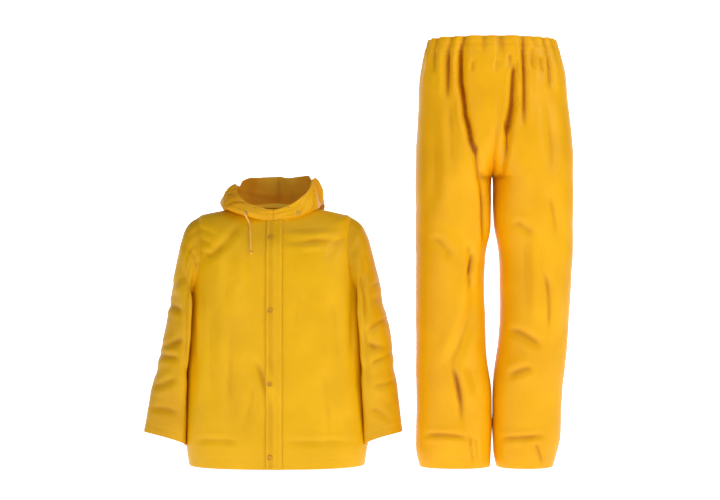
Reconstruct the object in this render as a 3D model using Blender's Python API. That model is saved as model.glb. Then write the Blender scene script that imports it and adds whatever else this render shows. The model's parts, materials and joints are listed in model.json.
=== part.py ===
"""Rain suit of coated cloth, filled out as if worn: a hooded jacket and, beside it, elastic-waist trousers.

Metres, +Z up. The fronts face -Y, and +X is the wearer's left. The origin is the middle of the jacket's neck.
Each panel is a closed wall of cloth: its outer points lie on a surface worked out from the garment's sizes,
and its inner points are the same points moved in by the wall. Angles run round the body from the middle of
the front (0) over the wearer's left side (a quarter turn) to the middle of the back (half a turn).
"""

import bpy
import numpy as np

WALL = 0.0015               # thickness of a cloth wall
SEAM_GAP = 0.0003           # space between two pieces that are sewn together
QUARTER = np.pi / 2
STEP = 1e-4                 # step for measuring which way a surface faces

TROUSERS_X = 0.5642         # middle of the trousers, beside the jacket
WAIST_TOP_Z = 0.452         # upper edge of the waist casing
CASING_HEIGHT = 0.040       # height of the waist casing

FLAP_RIGHT_X = -0.015       # free edge of the storm flap
FLAP_LEFT_X = 0.024         # sewn edge of the storm flap
STUD_RADIUS = 0.0065
STUD_HEIGHT = 0.0024
STUD_X = -0.006
STUD_TOP_Z = -0.062
STUD_SPACING = 0.185
STUD_COUNT = 4
STUD_LIFT = 0.0010          # the flat back of a stud over the middle of its place on the curved flap

ARMHOLE_REACH = 0.56        # half opening of the armhole, in radians round the body
ARMHOLE_STEPS = 12          # steps from the armpit to the shoulder point
FRONT_COLUMNS = 9           # cells from the front opening to the side seam
FRONT_EASE = 1.25           # draws the front's columns together towards the opening
BACK_COLUMNS = 18           # cells across the back
SLEEVE_START = 0.012        # distance down the sleeve over which its first direction is measured
HOOD_START = 0.05           # level of the hood up to which its first direction is measured
HOOD_LEVELS = 14            # rows of the hood
CASING_ROWS = 3             # rows of the waist casing
HIP_COLUMNS = 24            # cells from the middle seam to the outer seam above the crotch
LEG_HALVING_DOWN = 0.22     # distance down the trousers from which every second column goes on

EYELET_ANGLE = 0.56         # place of an eyelet beside the front opening, in radians
EYELET_UP = 0.30            # its place between the neck seam (0) and the hood's edge (1)
EYELET_RADIUS = 0.0055
EYELET_HOLE = 0.0027
EYELET_HEIGHT = 0.0014
EYELET_LIFT = 0.0005        # its flat back over the middle of its place on the curved hood
CORD_DIAMETER = 0.004
CORD_CLEAR = 0.0018         # how far the cord's side stays off the chest
CORD_EXIT_LIFT = 0.0022     # where the cord's middle line starts, over the hood's cloth
CORD_EXIT_REACH = 0.006     # how far it comes straight out of the eyelet
CORD_POINTS = 14
KNOT_RADIUS = 0.0048
KNOT_STRETCH = 1.2          # half length of the knot as a share of its radius
KNOT_LIFT = 0.0012          # how far the knot's middle stands out from the cord's end
# Height and distance from the middle of the places where the drawcord's end passes over the chest.
CORD_ROUTE = ((-0.030, -0.0600), (-0.045, -0.0585), (-0.062, -0.0565), (-0.080, -0.0550), (-0.096, -0.0545))

JACKET_YELLOW = (0.80, 0.47, 0.012)
TROUSER_YELLOW = (0.86, 0.46, 0.016)
CORD_YELLOW = (0.84, 0.56, 0.08)
STUD_YELLOW = (0.58, 0.33, 0.01)
BRASS = (0.62, 0.44, 0.16)


def table(columns, *rows):
    """Short table with named columns, as one array of values for each name."""
    return dict(zip(columns.split(), np.array(rows, float).T))


# One row for each level of the jacket's body, from the hem up to the neck seam. "along" is the distance up
# the side. Heights are given at the side, the front and the back, then the widths to the wearer's right and
# left, the depths to the front and back, and how square the ring is (2 is an ellipse).
JACKET = table(
    "along side_z front_z back_z right left front back square",
    (0.000, -0.648, -0.648, -0.648, 0.221, 0.233, 0.138, 0.134, 2.5),
    (0.035, -0.613, -0.613, -0.613, 0.227, 0.239, 0.139, 0.135, 2.5),
    (0.110, -0.538, -0.538, -0.538, 0.231, 0.237, 0.138, 0.134, 2.5),
    (0.250, -0.398, -0.398, -0.398, 0.227, 0.232, 0.136, 0.131, 2.5),
    (0.350, -0.298, -0.298, -0.298, 0.224, 0.229, 0.134, 0.129, 2.5),
    (0.424, -0.224, -0.224, -0.224, 0.222, 0.226, 0.133, 0.129, 2.5),
    (0.500, -0.145, -0.155, -0.150, 0.217, 0.220, 0.130, 0.128, 2.5),
    (0.570, -0.070, -0.108, -0.093, 0.208, 0.210, 0.124, 0.126, 2.4),
    (0.625, -0.007, -0.074, -0.047, 0.195, 0.195, 0.114, 0.119, 2.2),
    (0.655, 0.000, -0.056, -0.024, 0.176, 0.174, 0.104, 0.108, 2.1),
    (0.690, 0.007, -0.037, -0.001, 0.146, 0.144, 0.092, 0.096, 2.0),
    (0.725, 0.012, -0.020, 0.018, 0.114, 0.112, 0.080, 0.086, 2.0),
)
ARMPIT_ALONG = 0.424
SHOULDER_ALONG = 0.625
NECK_ALONG = 0.725

# Soft folds of the jacket's body: place (angle in degrees, distance along), reach each way, depth inwards.
JACKET_FOLDS = table(
    "angle along wide tall depth",
    (58, 0.330, 7, 0.110, 0.0045),
    (-60, 0.300, 7, 0.120, 0.0050),
    (-22, 0.170, 5, 0.080, 0.0030),
    (34, 0.120, 6, 0.090, 0.0025),
    (150, 0.260, 8, 0.130, 0.0045),
    (-146, 0.300, 8, 0.120, 0.0045),
    (178, 0.140, 6, 0.120, 0.0035),
)

# One row for each ring of a sleeve, from the armhole down to the cuff. The ring runs from an inner to an outer
# point, given as distance from the jacket's middle for the wearer's right and left sleeve and as height, and
# is "deep" to the front and back of them.
SLEEVE = table(
    "down right_in left_in inner_z right_out left_out outer_z deep square",
    (0.000, 0.2220, 0.2260, -0.2240, 0.195, 0.195, -0.007, 0.080, 2.0),
    (0.040, 0.2250, 0.2290, -0.2275, 0.228, 0.229, -0.033, 0.088, 2.1),
    (0.090, 0.2265, 0.2310, -0.2340, 0.249, 0.252, -0.096, 0.093, 2.2),
    (0.150, 0.2270, 0.2320, -0.2480, 0.261, 0.268, -0.158, 0.096, 2.3),
    (0.220, 0.2265, 0.2315, -0.2770, 0.272, 0.281, -0.222, 0.096, 2.3),
    (0.300, 0.2265, 0.2315, -0.3220, 0.285, 0.298, -0.295, 0.094, 2.3),
    (0.380, 0.2285, 0.2335, -0.3930, 0.301, 0.309, -0.370, 0.090, 2.3),
    (0.460, 0.2310, 0.2365, -0.4640, 0.317, 0.317, -0.438, 0.084, 2.3),
    (0.540, 0.2325, 0.2390, -0.5340, 0.330, 0.324, -0.503, 0.074, 2.3),
    (0.610, 0.2325, 0.2400, -0.6010, 0.341, 0.331, -0.564, 0.062, 2.3),
)
SLEEVE_WRAP = 0.028         # how far a sleeve's front and back reach in past its inner point, round the body
SLEEVE_MERGE = 0.22         # distance down over which the armhole's own shape fades out

# Soft folds of a sleeve: place round it (degrees from the armpit over the front), place down it, reach, depth.
SLEEVE_FOLDS = table(
    "angle along wide tall depth",
    (120, 0.130, 26, 0.030, 0.0050),
    (150, 0.215, 30, 0.024, 0.0045),
    (110, 0.330, 34, 0.028, 0.0055),
    (70, 0.395, 30, 0.022, 0.0040),
    (190, 0.420, 40, 0.026, 0.0045),
    (120, 0.520, 30, 0.028, 0.0040),
    (250, 0.250, 34, 0.030, 0.0050),
    (290, 0.370, 34, 0.026, 0.0045),
)

# The hood is pushed back. One row for each level from the neck seam to its free edge, as distances out and up
# from the seam: at the front, near the front corner, at the side, at the back corner and at the back.
HOOD = table(
    "level front_out front_up near_out near_up side_out side_up corner_out corner_up back_out back_up",
    (0.00, 0.000, 0.000, 0.000, 0.000, 0.000, 0.000, 0.000, 0.000, 0.000, 0.000),
    (0.10, 0.002, 0.003, 0.005, 0.004, 0.004, 0.004, 0.009, 0.006, 0.010, 0.010),
    (0.20, 0.003, 0.006, 0.007, 0.009, 0.005, 0.010, 0.021, 0.008, 0.026, 0.006),
    (0.30, 0.004, 0.009, 0.008, 0.015, 0.004, 0.018, 0.033, 0.002, 0.039, -0.040),
    (0.40, 0.004, 0.012, 0.008, 0.021, 0.002, 0.027, 0.043, -0.010, 0.047, -0.095),
    (0.50, 0.004, 0.015, 0.007, 0.027, 0.000, 0.036, 0.051, -0.018, 0.056, -0.145),
    (0.60, 0.004, 0.018, 0.006, 0.033, -0.002, 0.045, 0.057, -0.012, 0.080, -0.164),
    (0.70, 0.003, 0.021, 0.004, 0.039, -0.004, 0.054, 0.059, 0.008, 0.106, -0.126),
    (0.80, 0.003, 0.024, 0.002, 0.045, -0.007, 0.062, 0.053, 0.034, 0.114, -0.050),
    (0.90, 0.002, 0.027, 0.000, 0.051, -0.010, 0.070, 0.040, 0.060, 0.100, 0.034),
    (1.00, 0.002, 0.030, -0.002, 0.056, -0.015, 0.077, 0.021, 0.082, 0.072, 0.087),
)
HOOD_ANGLES = np.radians([0, 50, 90, 135, 180])
HOOD_SLUMP_OUT = 0.022      # how much further the hood bulges over the wearer's right shoulder
HOOD_SLUMP_DOWN = 0.016     # how much lower its free edge is there
HOOD_SLUMP_BEND = 0.55      # puts the bulge below the middle of the hood's height

# One row for each level of the trousers, as the distance down from the waist. Widths are from the middle of
# the trousers to the outer and inner side of the wearer's right and left leg, then the depths.
TROUSERS = table(
    "down right_out left_out right_in left_in front back square",
    (0.000, 0.167, 0.166, 0.0000, 0.0000, 0.112, 0.112, 2.2),
    (0.040, 0.178, 0.179, 0.0000, 0.0000, 0.116, 0.120, 2.2),
    (0.090, 0.187, 0.190, 0.0000, 0.0000, 0.121, 0.130, 2.2),
    (0.170, 0.191, 0.198, 0.0000, 0.0000, 0.124, 0.138, 2.2),
    (0.240, 0.195, 0.206, 0.0000, 0.0000, 0.124, 0.140, 2.2),
    (0.290, 0.198, 0.210, 0.0000, 0.0000, 0.122, 0.138, 2.2),
    (0.355, 0.198, 0.210, 0.0006, 0.0006, 0.118, 0.130, 2.2),
    (0.400, 0.198, 0.210, 0.0020, 0.0015, 0.112, 0.120, 2.2),
    (0.470, 0.198, 0.210, 0.0050, 0.0040, 0.106, 0.110, 2.2),
    (0.560, 0.198, 0.209, 0.0170, 0.0180, 0.102, 0.103, 2.2),
    (0.660, 0.198, 0.203, 0.0208, 0.0208, 0.098, 0.097, 2.2),
    (0.760, 0.197, 0.196, 0.0180, 0.0185, 0.094, 0.092, 2.2),
    (0.850, 0.197, 0.190, 0.0110, 0.0060, 0.090, 0.088, 2.2),
    (0.900, 0.197, 0.183, 0.0030, 0.0020, 0.087, 0.085, 2.2),
    (0.970, 0.196, 0.179, 0.0015, 0.0015, 0.084, 0.082, 2.2),
    (1.040, 0.198, 0.175, 0.0015, 0.0015, 0.079, 0.077, 2.2),
    (1.075, 0.196, 0.167, 0.0030, 0.0040, 0.076, 0.074, 2.2),
    (1.106, 0.188, 0.158, 0.0050, 0.0110, 0.073, 0.071, 2.2),
)
RISE_START = 0.200          # distance down where the front and back begin to turn in between the legs
CROTCH_DOWN = 0.355
LEG_FORM_START = 0.140      # from here down each leg's own round form comes out of the hips
LEG_FORM_END = 0.450
LEAST_LEG_FORM = 0.02       # a trace of it above, so that the middle seam has a facing everywhere
TROUSER_LENGTH = 1.106

# Gathers of the elastic waist: place in degrees from the middle of the front, depth and reach down.
GATHERS = table(
    "angle depth reach",
    (-174, 0.0070, 0.110),
    (-158, 0.0060, 0.070),
    (-143, 0.0074, 0.130),
    (-126, 0.0058, 0.060),
    (-110, 0.0066, 0.090),
    (-95, 0.0056, 0.070),
    (-80, 0.0060, 0.080),
    (-62, 0.0064, 0.070),
    (-40, 0.0074, 0.110),
    (-27, 0.0086, 0.160),
    (-9, 0.0056, 0.055),
    (6, 0.0060, 0.060),
    (25, 0.0086, 0.150),
    (36, 0.0060, 0.075),
    (49, 0.0068, 0.100),
    (63, 0.0058, 0.065),
    (78, 0.0064, 0.085),
    (94, 0.0056, 0.070),
    (111, 0.0070, 0.120),
    (127, 0.0058, 0.060),
    (141, 0.0070, 0.100),
    (159, 0.0062, 0.080),
)
GATHER_WIDTH = np.radians(4.4)

# The two long folds that run from the waist to the crotch on the front, as the distance from the middle of
# the trousers of the wearer's right and left one, and how deep each is there.
LONG_FOLDS = table(
    "down right_x left_x right_depth left_depth",
    (0.000, -0.0905, 0.0535, 0.0000, 0.0000),
    (0.062, -0.0892, 0.0504, 0.0040, 0.0030),
    (0.122, -0.0870, 0.0478, 0.0080, 0.0050),
    (0.180, -0.0763, 0.0415, 0.0090, 0.0070),
    (0.248, -0.0627, 0.0308, 0.0090, 0.0080),
    (0.307, -0.0465, 0.0215, 0.0085, 0.0070),
    (0.360, -0.0355, 0.0175, 0.0060, 0.0040),
    (0.422, -0.0295, 0.0150, 0.0000, 0.0000),
)
LONG_FOLD_WIDTH = 0.013

# Soft folds of the legs: place round a leg's front or back (0 inner seam, 1 outer seam), place down, reach,
# depth, and which leg (-1 the wearer's right, 1 the left) and side (-1 front, 1 back) it is on.
LEG_FOLDS = table(
    "place down wide tall depth leg side",
    (0.62, 0.700, 0.14, 0.100, 0.0045, -1, -1),
    (0.35, 0.860, 0.16, 0.045, 0.0050, -1, -1),
    (0.55, 0.960, 0.14, 0.060, 0.0040, -1, -1),
    (0.70, 0.780, 0.13, 0.110, 0.0050, 1, -1),
    (0.62, 0.930, 0.15, 0.050, 0.0045, 1, -1),
    (0.40, 0.560, 0.15, 0.090, 0.0040, 1, -1),
    (0.55, 0.480, 0.16, 0.050, 0.0050, -1, 1),
    (0.45, 0.640, 0.16, 0.060, 0.0050, -1, 1),
    (0.50, 0.880, 0.18, 0.060, 0.0045, -1, 1),
    (0.50, 0.500, 0.16, 0.050, 0.0050, 1, 1),
    (0.55, 0.680, 0.16, 0.070, 0.0050, 1, 1),
    (0.45, 0.900, 0.18, 0.060, 0.0045, 1, 1),
)


def curve(at, knots, values, flat_ends=False):
    """Smooth line through the values at the knots: a cubic on each stretch, with slopes from its neighbours."""
    at = np.asarray(at, float)
    slopes = np.gradient(values, knots, axis=0)
    if flat_ends:
        slopes[0] = slopes[-1] = 0
    k = np.clip(np.searchsorted(knots, at) - 1, 0, len(knots) - 2)
    span = knots[k + 1] - knots[k]
    t = (at - knots[k]) / span

    def pick(array, index):
        if array.ndim == 1:
            return array[index]
        return np.take_along_axis(array, index[None], axis=0)[0]

    start, end = pick(values, k), pick(values, k + 1)
    leave, arrive = pick(slopes, k) * span, pick(slopes, k + 1) * span
    return (
        (2 * t**3 - 3 * t**2 + 1) * start + (t**3 - 2 * t**2 + t) * leave
        + (3 * t**2 - 2 * t**3) * end + (t**3 - t**2) * arrive
    )


def rounded(value, square):
    """Sine or cosine bent towards a squarer ring, keeping its sign."""
    return np.sign(value) * np.abs(value) ** (2 / square)


def smoothstep(value):
    """Soft ramp from 0 to 1."""
    value = np.clip(value, 0, 1)
    return value * value * (3 - 2 * value)


def unit(vectors):
    return vectors / np.linalg.norm(vectors, axis=-1, keepdims=True)


def hollow(distance, width):
    """Soft trough, 1 in its middle and fading out at about twice its width."""
    return np.exp(-((distance / width) ** 2))


def wrapped(angle):
    """Angle brought to between minus and plus half a turn."""
    return (angle + np.pi) % (2 * np.pi) - np.pi


def facing(surface, u, v):
    """Direction that a surface faces, from how it moves with each of its two parameters."""
    along_u = surface(u + STEP, v) - surface(u - STEP, v)
    along_v = surface(u, v + STEP) - surface(u, v - STEP)
    return unit(np.cross(along_u, along_v))


def folded(surface, relief, side=1):
    """The surface pushed in along its own facing by the relief's depth."""
    def result(u, v):
        return surface(u, v) - side * facing(surface, u, v) * relief(u, v)[..., None]
    return result


def jacket_plain(angle, along):
    """Ring of the jacket's body at a distance along it, closing in over the shoulders to the neck."""
    row = {name: curve(along, JACKET["along"], JACKET[name]) for name in JACKET if name != "along"}
    sideways = rounded(np.sin(angle), row["square"])
    forwards = rounded(np.cos(angle), row["square"])
    x = sideways * np.where(sideways > 0, row["left"], row["right"])
    y = -forwards * np.where(forwards > 0, row["front"], row["back"])
    middle_z = np.where(forwards > 0, row["front_z"], row["back_z"])
    z = middle_z + (row["side_z"] - middle_z) * np.sin(angle) ** 2
    return np.stack([x, y, z], axis=-1)


def jacket_relief(angle, along):
    """Depth of the soft folds in the jacket's body."""
    depth = np.zeros(np.broadcast(angle, along).shape)
    for place, level, wide, tall, deep in zip(*JACKET_FOLDS.values()):
        beside = wrapped(angle - np.radians(place))
        depth += deep * hollow(beside, np.radians(wide)) * hollow(along - level, tall)
    return depth


jacket = folded(jacket_plain, jacket_relief)


def armhole_line(side, turn):
    """Closed line of an armhole on the jacket's body: turn 0 is the armpit, a quarter turn is the front."""
    angle = side * (QUARTER - ARMHOLE_REACH * np.sin(turn))
    along = ARMPIT_ALONG + (SHOULDER_ALONG - ARMPIT_ALONG) * (1 - np.cos(turn)) / 2
    return angle, along


def sleeve_ring(side, turn, down):
    """Ring of a sleeve at a distance down it, between its inner and outer point."""
    row = {name: curve(down, SLEEVE["down"], SLEEVE[name]) for name in SLEEVE if name != "down"}
    outer_x = row["left_out"] if side > 0 else row["right_out"]
    inner_x = row["left_in"] if side > 0 else row["right_in"]
    nearer = (1 + rounded(np.cos(turn), row["square"])) / 2
    forwards = rounded(np.sin(turn), row["square"])
    wrap = SLEEVE_WRAP * smoothstep(down / SLEEVE_MERGE) * forwards**2
    x = side * (outer_x + (inner_x - outer_x) * nearer - wrap)
    z = row["outer_z"] + (row["inner_z"] - row["outer_z"]) * nearer
    y = -row["deep"] * forwards
    return np.stack([x, y, z], axis=-1)


def sleeve_surface(side):
    """Sleeve that starts on the armhole's own line and eases into plain rings."""
    def plain(turn, down):
        start = jacket(*armhole_line(side, turn))
        fade = 1 - smoothstep(down / SLEEVE_MERGE)
        return sleeve_ring(side, turn, down) + fade[..., None] * (start - sleeve_ring(side, turn, down * 0))

    def relief(turn, down):
        depth = np.zeros(np.broadcast(turn, down).shape)
        for place, level, wide, tall, deep in zip(*SLEEVE_FOLDS.values()):
            slant = down - level - 0.02 * side * np.sin(turn - np.radians(place))
            depth += deep * hollow(wrapped(turn - np.radians(place)), np.radians(wide)) * hollow(slant, tall)
        return depth

    return folded(plain, relief, side=-side)


def hood(angle, level):
    """Point of the hood: it stands on the neck seam, goes out and up by the hood's table."""
    base = jacket(angle, np.full(np.shape(angle), NECK_ALONG))
    around = np.abs(wrapped(angle))
    names = ("front", "near", "side", "corner", "back")
    outs = np.stack([curve(level, HOOD["level"], HOOD[name + "_out"]) for name in names])
    ups = np.stack([curve(level, HOOD["level"], HOOD[name + "_up"]) for name in names])
    out = curve(around, HOOD_ANGLES, outs, flat_ends=True)
    up = curve(around, HOOD_ANGLES, ups, flat_ends=True)
    slump = smoothstep(-np.sin(angle))
    out = out + HOOD_SLUMP_OUT * slump * np.sin(np.pi * np.clip(level, 0, 1) ** HOOD_SLUMP_BEND)
    up = up - HOOD_SLUMP_DOWN * slump * level**2
    direction = np.stack([np.sin(angle), -np.cos(angle), 0 * angle], axis=-1)
    return base + direction * out[..., None] + np.array([0, 0, 1]) * up[..., None]


def trouser_plain(leg, side):
    """Front (side -1) or back (side 1) of one leg: place 0 is the middle or inner seam, 1 the outer seam."""
    def surface(place, down):
        row = {name: curve(down, TROUSERS["down"], TROUSERS[name]) for name in TROUSERS if name != "down"}
        out = row["left_out"] if leg > 0 else row["right_out"]
        inside = row["left_in"] if leg > 0 else row["right_in"]
        depth = row["front"] if side < 0 else row["back"]
        formed = smoothstep((down - LEG_FORM_START) / (LEG_FORM_END - LEG_FORM_START))
        formed = np.maximum(formed, LEAST_LEG_FORM)
        sunk = np.clip((down - RISE_START) / (CROTCH_DOWN - RISE_START), 0, 1)
        parted = 1 - np.sqrt(1 - sunk**2)
        middle = formed * (out + inside) / 2
        inner_turn = -QUARTER * formed
        turn = inner_turn + place * (QUARTER - inner_turn)
        across = rounded(np.sin(turn), row["square"])
        inner_share = across / np.minimum(rounded(np.sin(inner_turn), row["square"]), -1e-6)
        x = np.where(turn > 0, middle + (out - middle) * across, middle - (middle - inside) * inner_share)
        height = rounded(np.cos(turn), row["square"])
        inner_drop = (1 - height) / np.maximum(1 - rounded(np.cos(inner_turn), row["square"]), 1e-6)
        y = depth * np.where(turn > 0, height, 1 - parted * inner_drop)
        return np.stack([TROUSERS_X + leg * x, side * y, WAIST_TOP_Z - down + 0 * x], axis=-1)
    return surface


def trouser_surface(leg, side):
    """The plain leg with its gathers, the long folds to the crotch and the soft folds of the leg."""
    plain = trouser_plain(leg, side)

    def relief(place, down):
        depth = np.zeros(np.broadcast(place, down).shape)
        angle = leg * (place * QUARTER if side < 0 else np.pi - place * QUARTER)
        for middle, deep, reach in zip(*GATHERS.values()):
            depth += deep * hollow(wrapped(angle - np.radians(middle)), GATHER_WIDTH) * hollow(down, reach)
        if side < 0:
            x = plain(place, down)[..., 0] - TROUSERS_X
            for name in ("right", "left"):
                line = curve(down, LONG_FOLDS["down"], LONG_FOLDS[name + "_x"])
                deep = curve(down, LONG_FOLDS["down"], LONG_FOLDS[name + "_depth"])
                deep = np.where((down < 0) | (down > LONG_FOLDS["down"][-1]), 0, deep)
                depth += deep * hollow(x - line, LONG_FOLD_WIDTH)
        for middle, level, wide, tall, deep, on_leg, on_side in zip(*LEG_FOLDS.values()):
            if on_leg == leg and on_side == side:
                depth += deep * hollow(place - middle, wide) * hollow(down - level, tall)
        return depth

    return folded(plain, relief, side=leg * side)


def finish(name, colour, roughness, metallic=0.0):
    """Material with one colour, roughness and metallic value."""
    material = bpy.data.materials.new(name)
    material.use_nodes = True
    shader = material.node_tree.nodes["Principled BSDF"]
    shader.inputs["Base Color"].default_value = (*colour, 1)
    shader.inputs["Roughness"].default_value = roughness
    shader.inputs["Metallic"].default_value = metallic
    return material


def add_solid(name, points, faces, material):
    """Object from points and faces, turned the right way out by its volume."""
    corners = [(face[0], a, b) for face in faces for a, b in zip(face[1:], face[2:])]
    first, second, third = (points[list(index)] for index in zip(*corners))
    volume = np.einsum("ij,ij->i", first, np.cross(second, third)).sum()
    if volume < 0:
        faces = [tuple(reversed(face)) for face in faces]
    mesh = bpy.data.meshes.new(name)
    mesh.from_pydata(points.tolist(), [], faces)
    mesh.shade_smooth()
    mesh.set_sharp_from_angle(angle=np.radians(50))
    mesh.materials.append(material)
    part = bpy.data.objects.new(name, mesh)
    bpy.context.collection.objects.link(part)
    return part


def band(upper, lower):
    """Triangles between two rows of point numbers, where the lower row has as many points or every second."""
    faces = []
    if len(upper) == len(lower):
        for a, b, c, d in zip(upper, upper[1:], lower[1:], lower):
            faces += [(a, b, c), (a, c, d)]
        return faces
    for k in range(len(lower) - 1):
        a, b, c = upper[2 * k:2 * k + 3]
        d, e = lower[k + 1], lower[k]
        faces += [(a, b, e), (b, d, e), (b, c, d)]
    return faces


def wall(name, rows, faced, material, closed=False):
    """Closed solid of cloth from rows of outer points and the direction that each faces."""
    outer = np.concatenate(rows)
    points = np.concatenate([outer, outer - WALL * np.concatenate(faced)])
    count = len(outer)
    numbers = []
    start = 0
    for row in rows:
        ids = list(range(start, start + len(row)))
        start += len(row)
        numbers.append(ids + ids[:1] if closed else ids)
    faces = []
    for upper, lower in zip(numbers, numbers[1:]):
        faces += band(upper, lower)
    faces += [tuple(count + i for i in reversed(face)) for face in faces]
    if closed:
        edges = [numbers[0][::-1], numbers[-1]]
    else:
        right_side = [row[-1] for row in numbers]
        left_side = [row[0] for row in numbers]
        edges = [numbers[0][::-1], left_side, numbers[-1], right_side[::-1]]
    for edge in edges:
        for a, b in zip(edge, edge[1:]):
            faces += [(a, b, count + b), (a, count + b, count + a)]
    return add_solid(name, points, faces, material)


def pull_in(rows, first=False, last=False):
    """Rows with their first or last point moved half a seam gap along the row, away from the seam."""
    half = SEAM_GAP / 2
    for row in rows:
        if first:
            row[0] += half * unit(row[1] - row[0])
        if last:
            row[-1] += half * unit(row[-2] - row[-1])


def pull_down(rows, top=False, bottom=False):
    """Rows with the top or bottom one moved by half a seam gap towards its neighbour."""
    half = SEAM_GAP / 2
    if top:
        rows[0] += half * unit(rows[1] - rows[0])
    if bottom:
        rows[-1] += half * unit(rows[-2] - rows[-1])


def shared_edge(faced_one, faced_other, tangent, onwards):
    """Common facing of two walls that meet at a seam, and the way across the seam from one to the other."""
    facing_both = unit(faced_one + faced_other)
    across = unit(np.cross(facing_both, unit(tangent)))
    flip = np.sign(np.sum(across * onwards, axis=-1, keepdims=True))
    return facing_both, across * flip


def armhole_seam(side):
    """Points, common facing and way across for each step of an armhole, starting at the armpit."""
    turn = np.linspace(0, 2 * np.pi, 2 * ARMHOLE_STEPS, endpoint=False)
    zero = np.zeros_like(turn)
    sleeve = sleeve_surface(side)
    angle, along = armhole_line(side, turn)
    points = jacket(angle, along)
    before, after = np.roll(points, 1, axis=0), np.roll(points, -1, axis=0)
    onwards = sleeve(turn, zero + SLEEVE_START) - sleeve(turn, zero)
    onwards = np.where(np.linalg.norm(onwards, axis=-1, keepdims=True) > 1e-6, onwards, [[side, 0, 0]])
    body_faces = facing(jacket, angle, along)
    tangent = unit(after - before)
    outwards = facing(sleeve, turn, zero + SLEEVE_START) * -side
    sleeve_faces = np.cross(tangent, unit(onwards))
    sleeve_faces *= np.sign(np.sum(sleeve_faces * outwards, axis=-1, keepdims=True))
    common, across = shared_edge(body_faces, unit(sleeve_faces), tangent, onwards)
    return points, common, across


def body_levels():
    """Distances along the jacket's body where its panels have rows, with the armhole's opening and step there.

    The step is -1 in rows that no armhole crosses.
    """
    below = [0.0, 0.035, 0.090, 0.160, 0.240, 0.320, 0.380]
    steps = np.arange(ARMHOLE_STEPS + 1)
    hole = ARMPIT_ALONG + (SHOULDER_ALONG - ARMPIT_ALONG) * (1 - np.cos(np.pi * steps / ARMHOLE_STEPS)) / 2
    above = [0.655, 0.690, NECK_ALONG]
    levels = np.concatenate([below, hole, above])
    opening = np.zeros(len(levels))
    opening[len(below):len(below) + len(hole)] = ARMHOLE_REACH * np.sin(np.pi * steps / ARMHOLE_STEPS)
    step_of = np.full(len(levels), -1)
    step_of[len(below):len(below) + len(hole)] = steps
    return levels, opening, step_of


def front_places():
    return np.linspace(0, 1, FRONT_COLUMNS + 1) ** FRONT_EASE


def neck_seam(angle):
    """Common facing at the neck seam of the body and the hood, and the way across it, upwards."""
    along = np.full(np.shape(angle), NECK_ALONG)
    level = np.zeros(np.shape(angle))
    points = jacket(angle, along)
    tangent = jacket(angle + STEP, along) - jacket(angle - STEP, along)
    onwards = hood(angle, level + HOOD_START) - points
    hood_faces = unit(np.cross(unit(tangent), unit(onwards)))
    common, across = shared_edge(facing(jacket, angle, along), hood_faces, tangent, onwards)
    return points, common, across


def jacket_panels(cloth):
    """Back and two fronts, each from the hem to the neck seam, cut out round the armholes."""
    levels, opening, step_of = body_levels()
    u = front_places()
    seams = {side: armhole_seam(side) for side in (-1, 1)}
    steps = 2 * ARMHOLE_STEPS
    for name, side in (("jacket_front_left", 1), ("jacket_front_right", -1)):
        edge = QUARTER - opening
        angle = side * edge[:, None] * u
        along = np.broadcast_to(levels[:, None], angle.shape)
        rows = jacket(angle, along)
        faced = facing(jacket, angle, along)
        faced[:, 0, 0] = 0
        faced = unit(faced)
        at_hole = step_of >= 0
        faced[at_hole, -1] = seams[side][1][step_of[at_hole]]
        faced[-1] = neck_seam(angle[-1])[1]
        faced[-1, 0, 0] = 0
        keep_edge = (step_of <= 0) | (step_of == ARMHOLE_STEPS)
        rows = list(rows)
        pull_in(rows, first=True)
        pull_in([row for row, keep in zip(rows, keep_edge) if keep], last=True)
        wall(name, rows, list(faced), cloth)
    angle = np.array([np.linspace(QUARTER + gap, 3 * QUARTER - gap, BACK_COLUMNS + 1) for gap in opening])
    along = np.broadcast_to(levels[:, None], angle.shape)
    rows = jacket(angle, along)
    faced = facing(jacket, angle, along)
    at_hole = step_of >= 0
    mirrored = (steps - step_of[at_hole]) % steps
    faced[at_hole, 0] = seams[1][1][mirrored]
    faced[at_hole, -1] = seams[-1][1][mirrored]
    faced[-1] = neck_seam(angle[-1])[1]
    rows = list(rows)
    keep_edge = (step_of <= 0) | (step_of == ARMHOLE_STEPS)
    pull_in([row for row, keep in zip(rows, keep_edge) if keep], first=True, last=True)
    wall("jacket_back", rows, list(faced), cloth)


def jacket_sleeve(name, side, cloth):
    """One-piece sleeve from the armhole's line to the open cuff."""
    down = np.array([0, 0.02, 0.045, 0.075, 0.11, 0.15, 0.19, 0.24, 0.30, 0.37, 0.44, 0.51, 0.57, 0.61])
    turn = np.linspace(0, 2 * np.pi, 2 * ARMHOLE_STEPS, endpoint=False)
    turns, downs = np.meshgrid(turn, down)
    sleeve = sleeve_surface(side)
    rows = sleeve(turns, downs)
    faced = facing(sleeve, turns, downs) * -side
    points, common, across = armhole_seam(side)
    rows[0] = points + SEAM_GAP * across
    faced[0] = common
    wall(name, list(rows), list(faced), cloth, closed=True)


def hood_halves(cloth):
    """Two halves of the hood, joined along the middle of its crown and open at the front."""
    quarter_front = QUARTER * front_places()[1:]
    back_half = np.linspace(QUARTER, np.pi, BACK_COLUMNS // 2 + 1)[1:]
    angle = np.concatenate([quarter_front, back_half])
    level = np.linspace(0, 1, HOOD_LEVELS)
    for name, side in (("hood_left", 1), ("hood_right", -1)):
        angles, levels = np.meshgrid(side * angle, level)
        rows = hood(angles, levels)
        faced = facing(hood, angles, levels)
        points, common, across = neck_seam(side * angle)
        rows[0] = points + SEAM_GAP * across
        faced[0] = common
        faced[:, -1, 0] = 0
        faced = unit(faced)
        rows = list(rows)
        pull_in(rows, last=True)
        wall(name, rows, list(faced), cloth)


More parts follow.
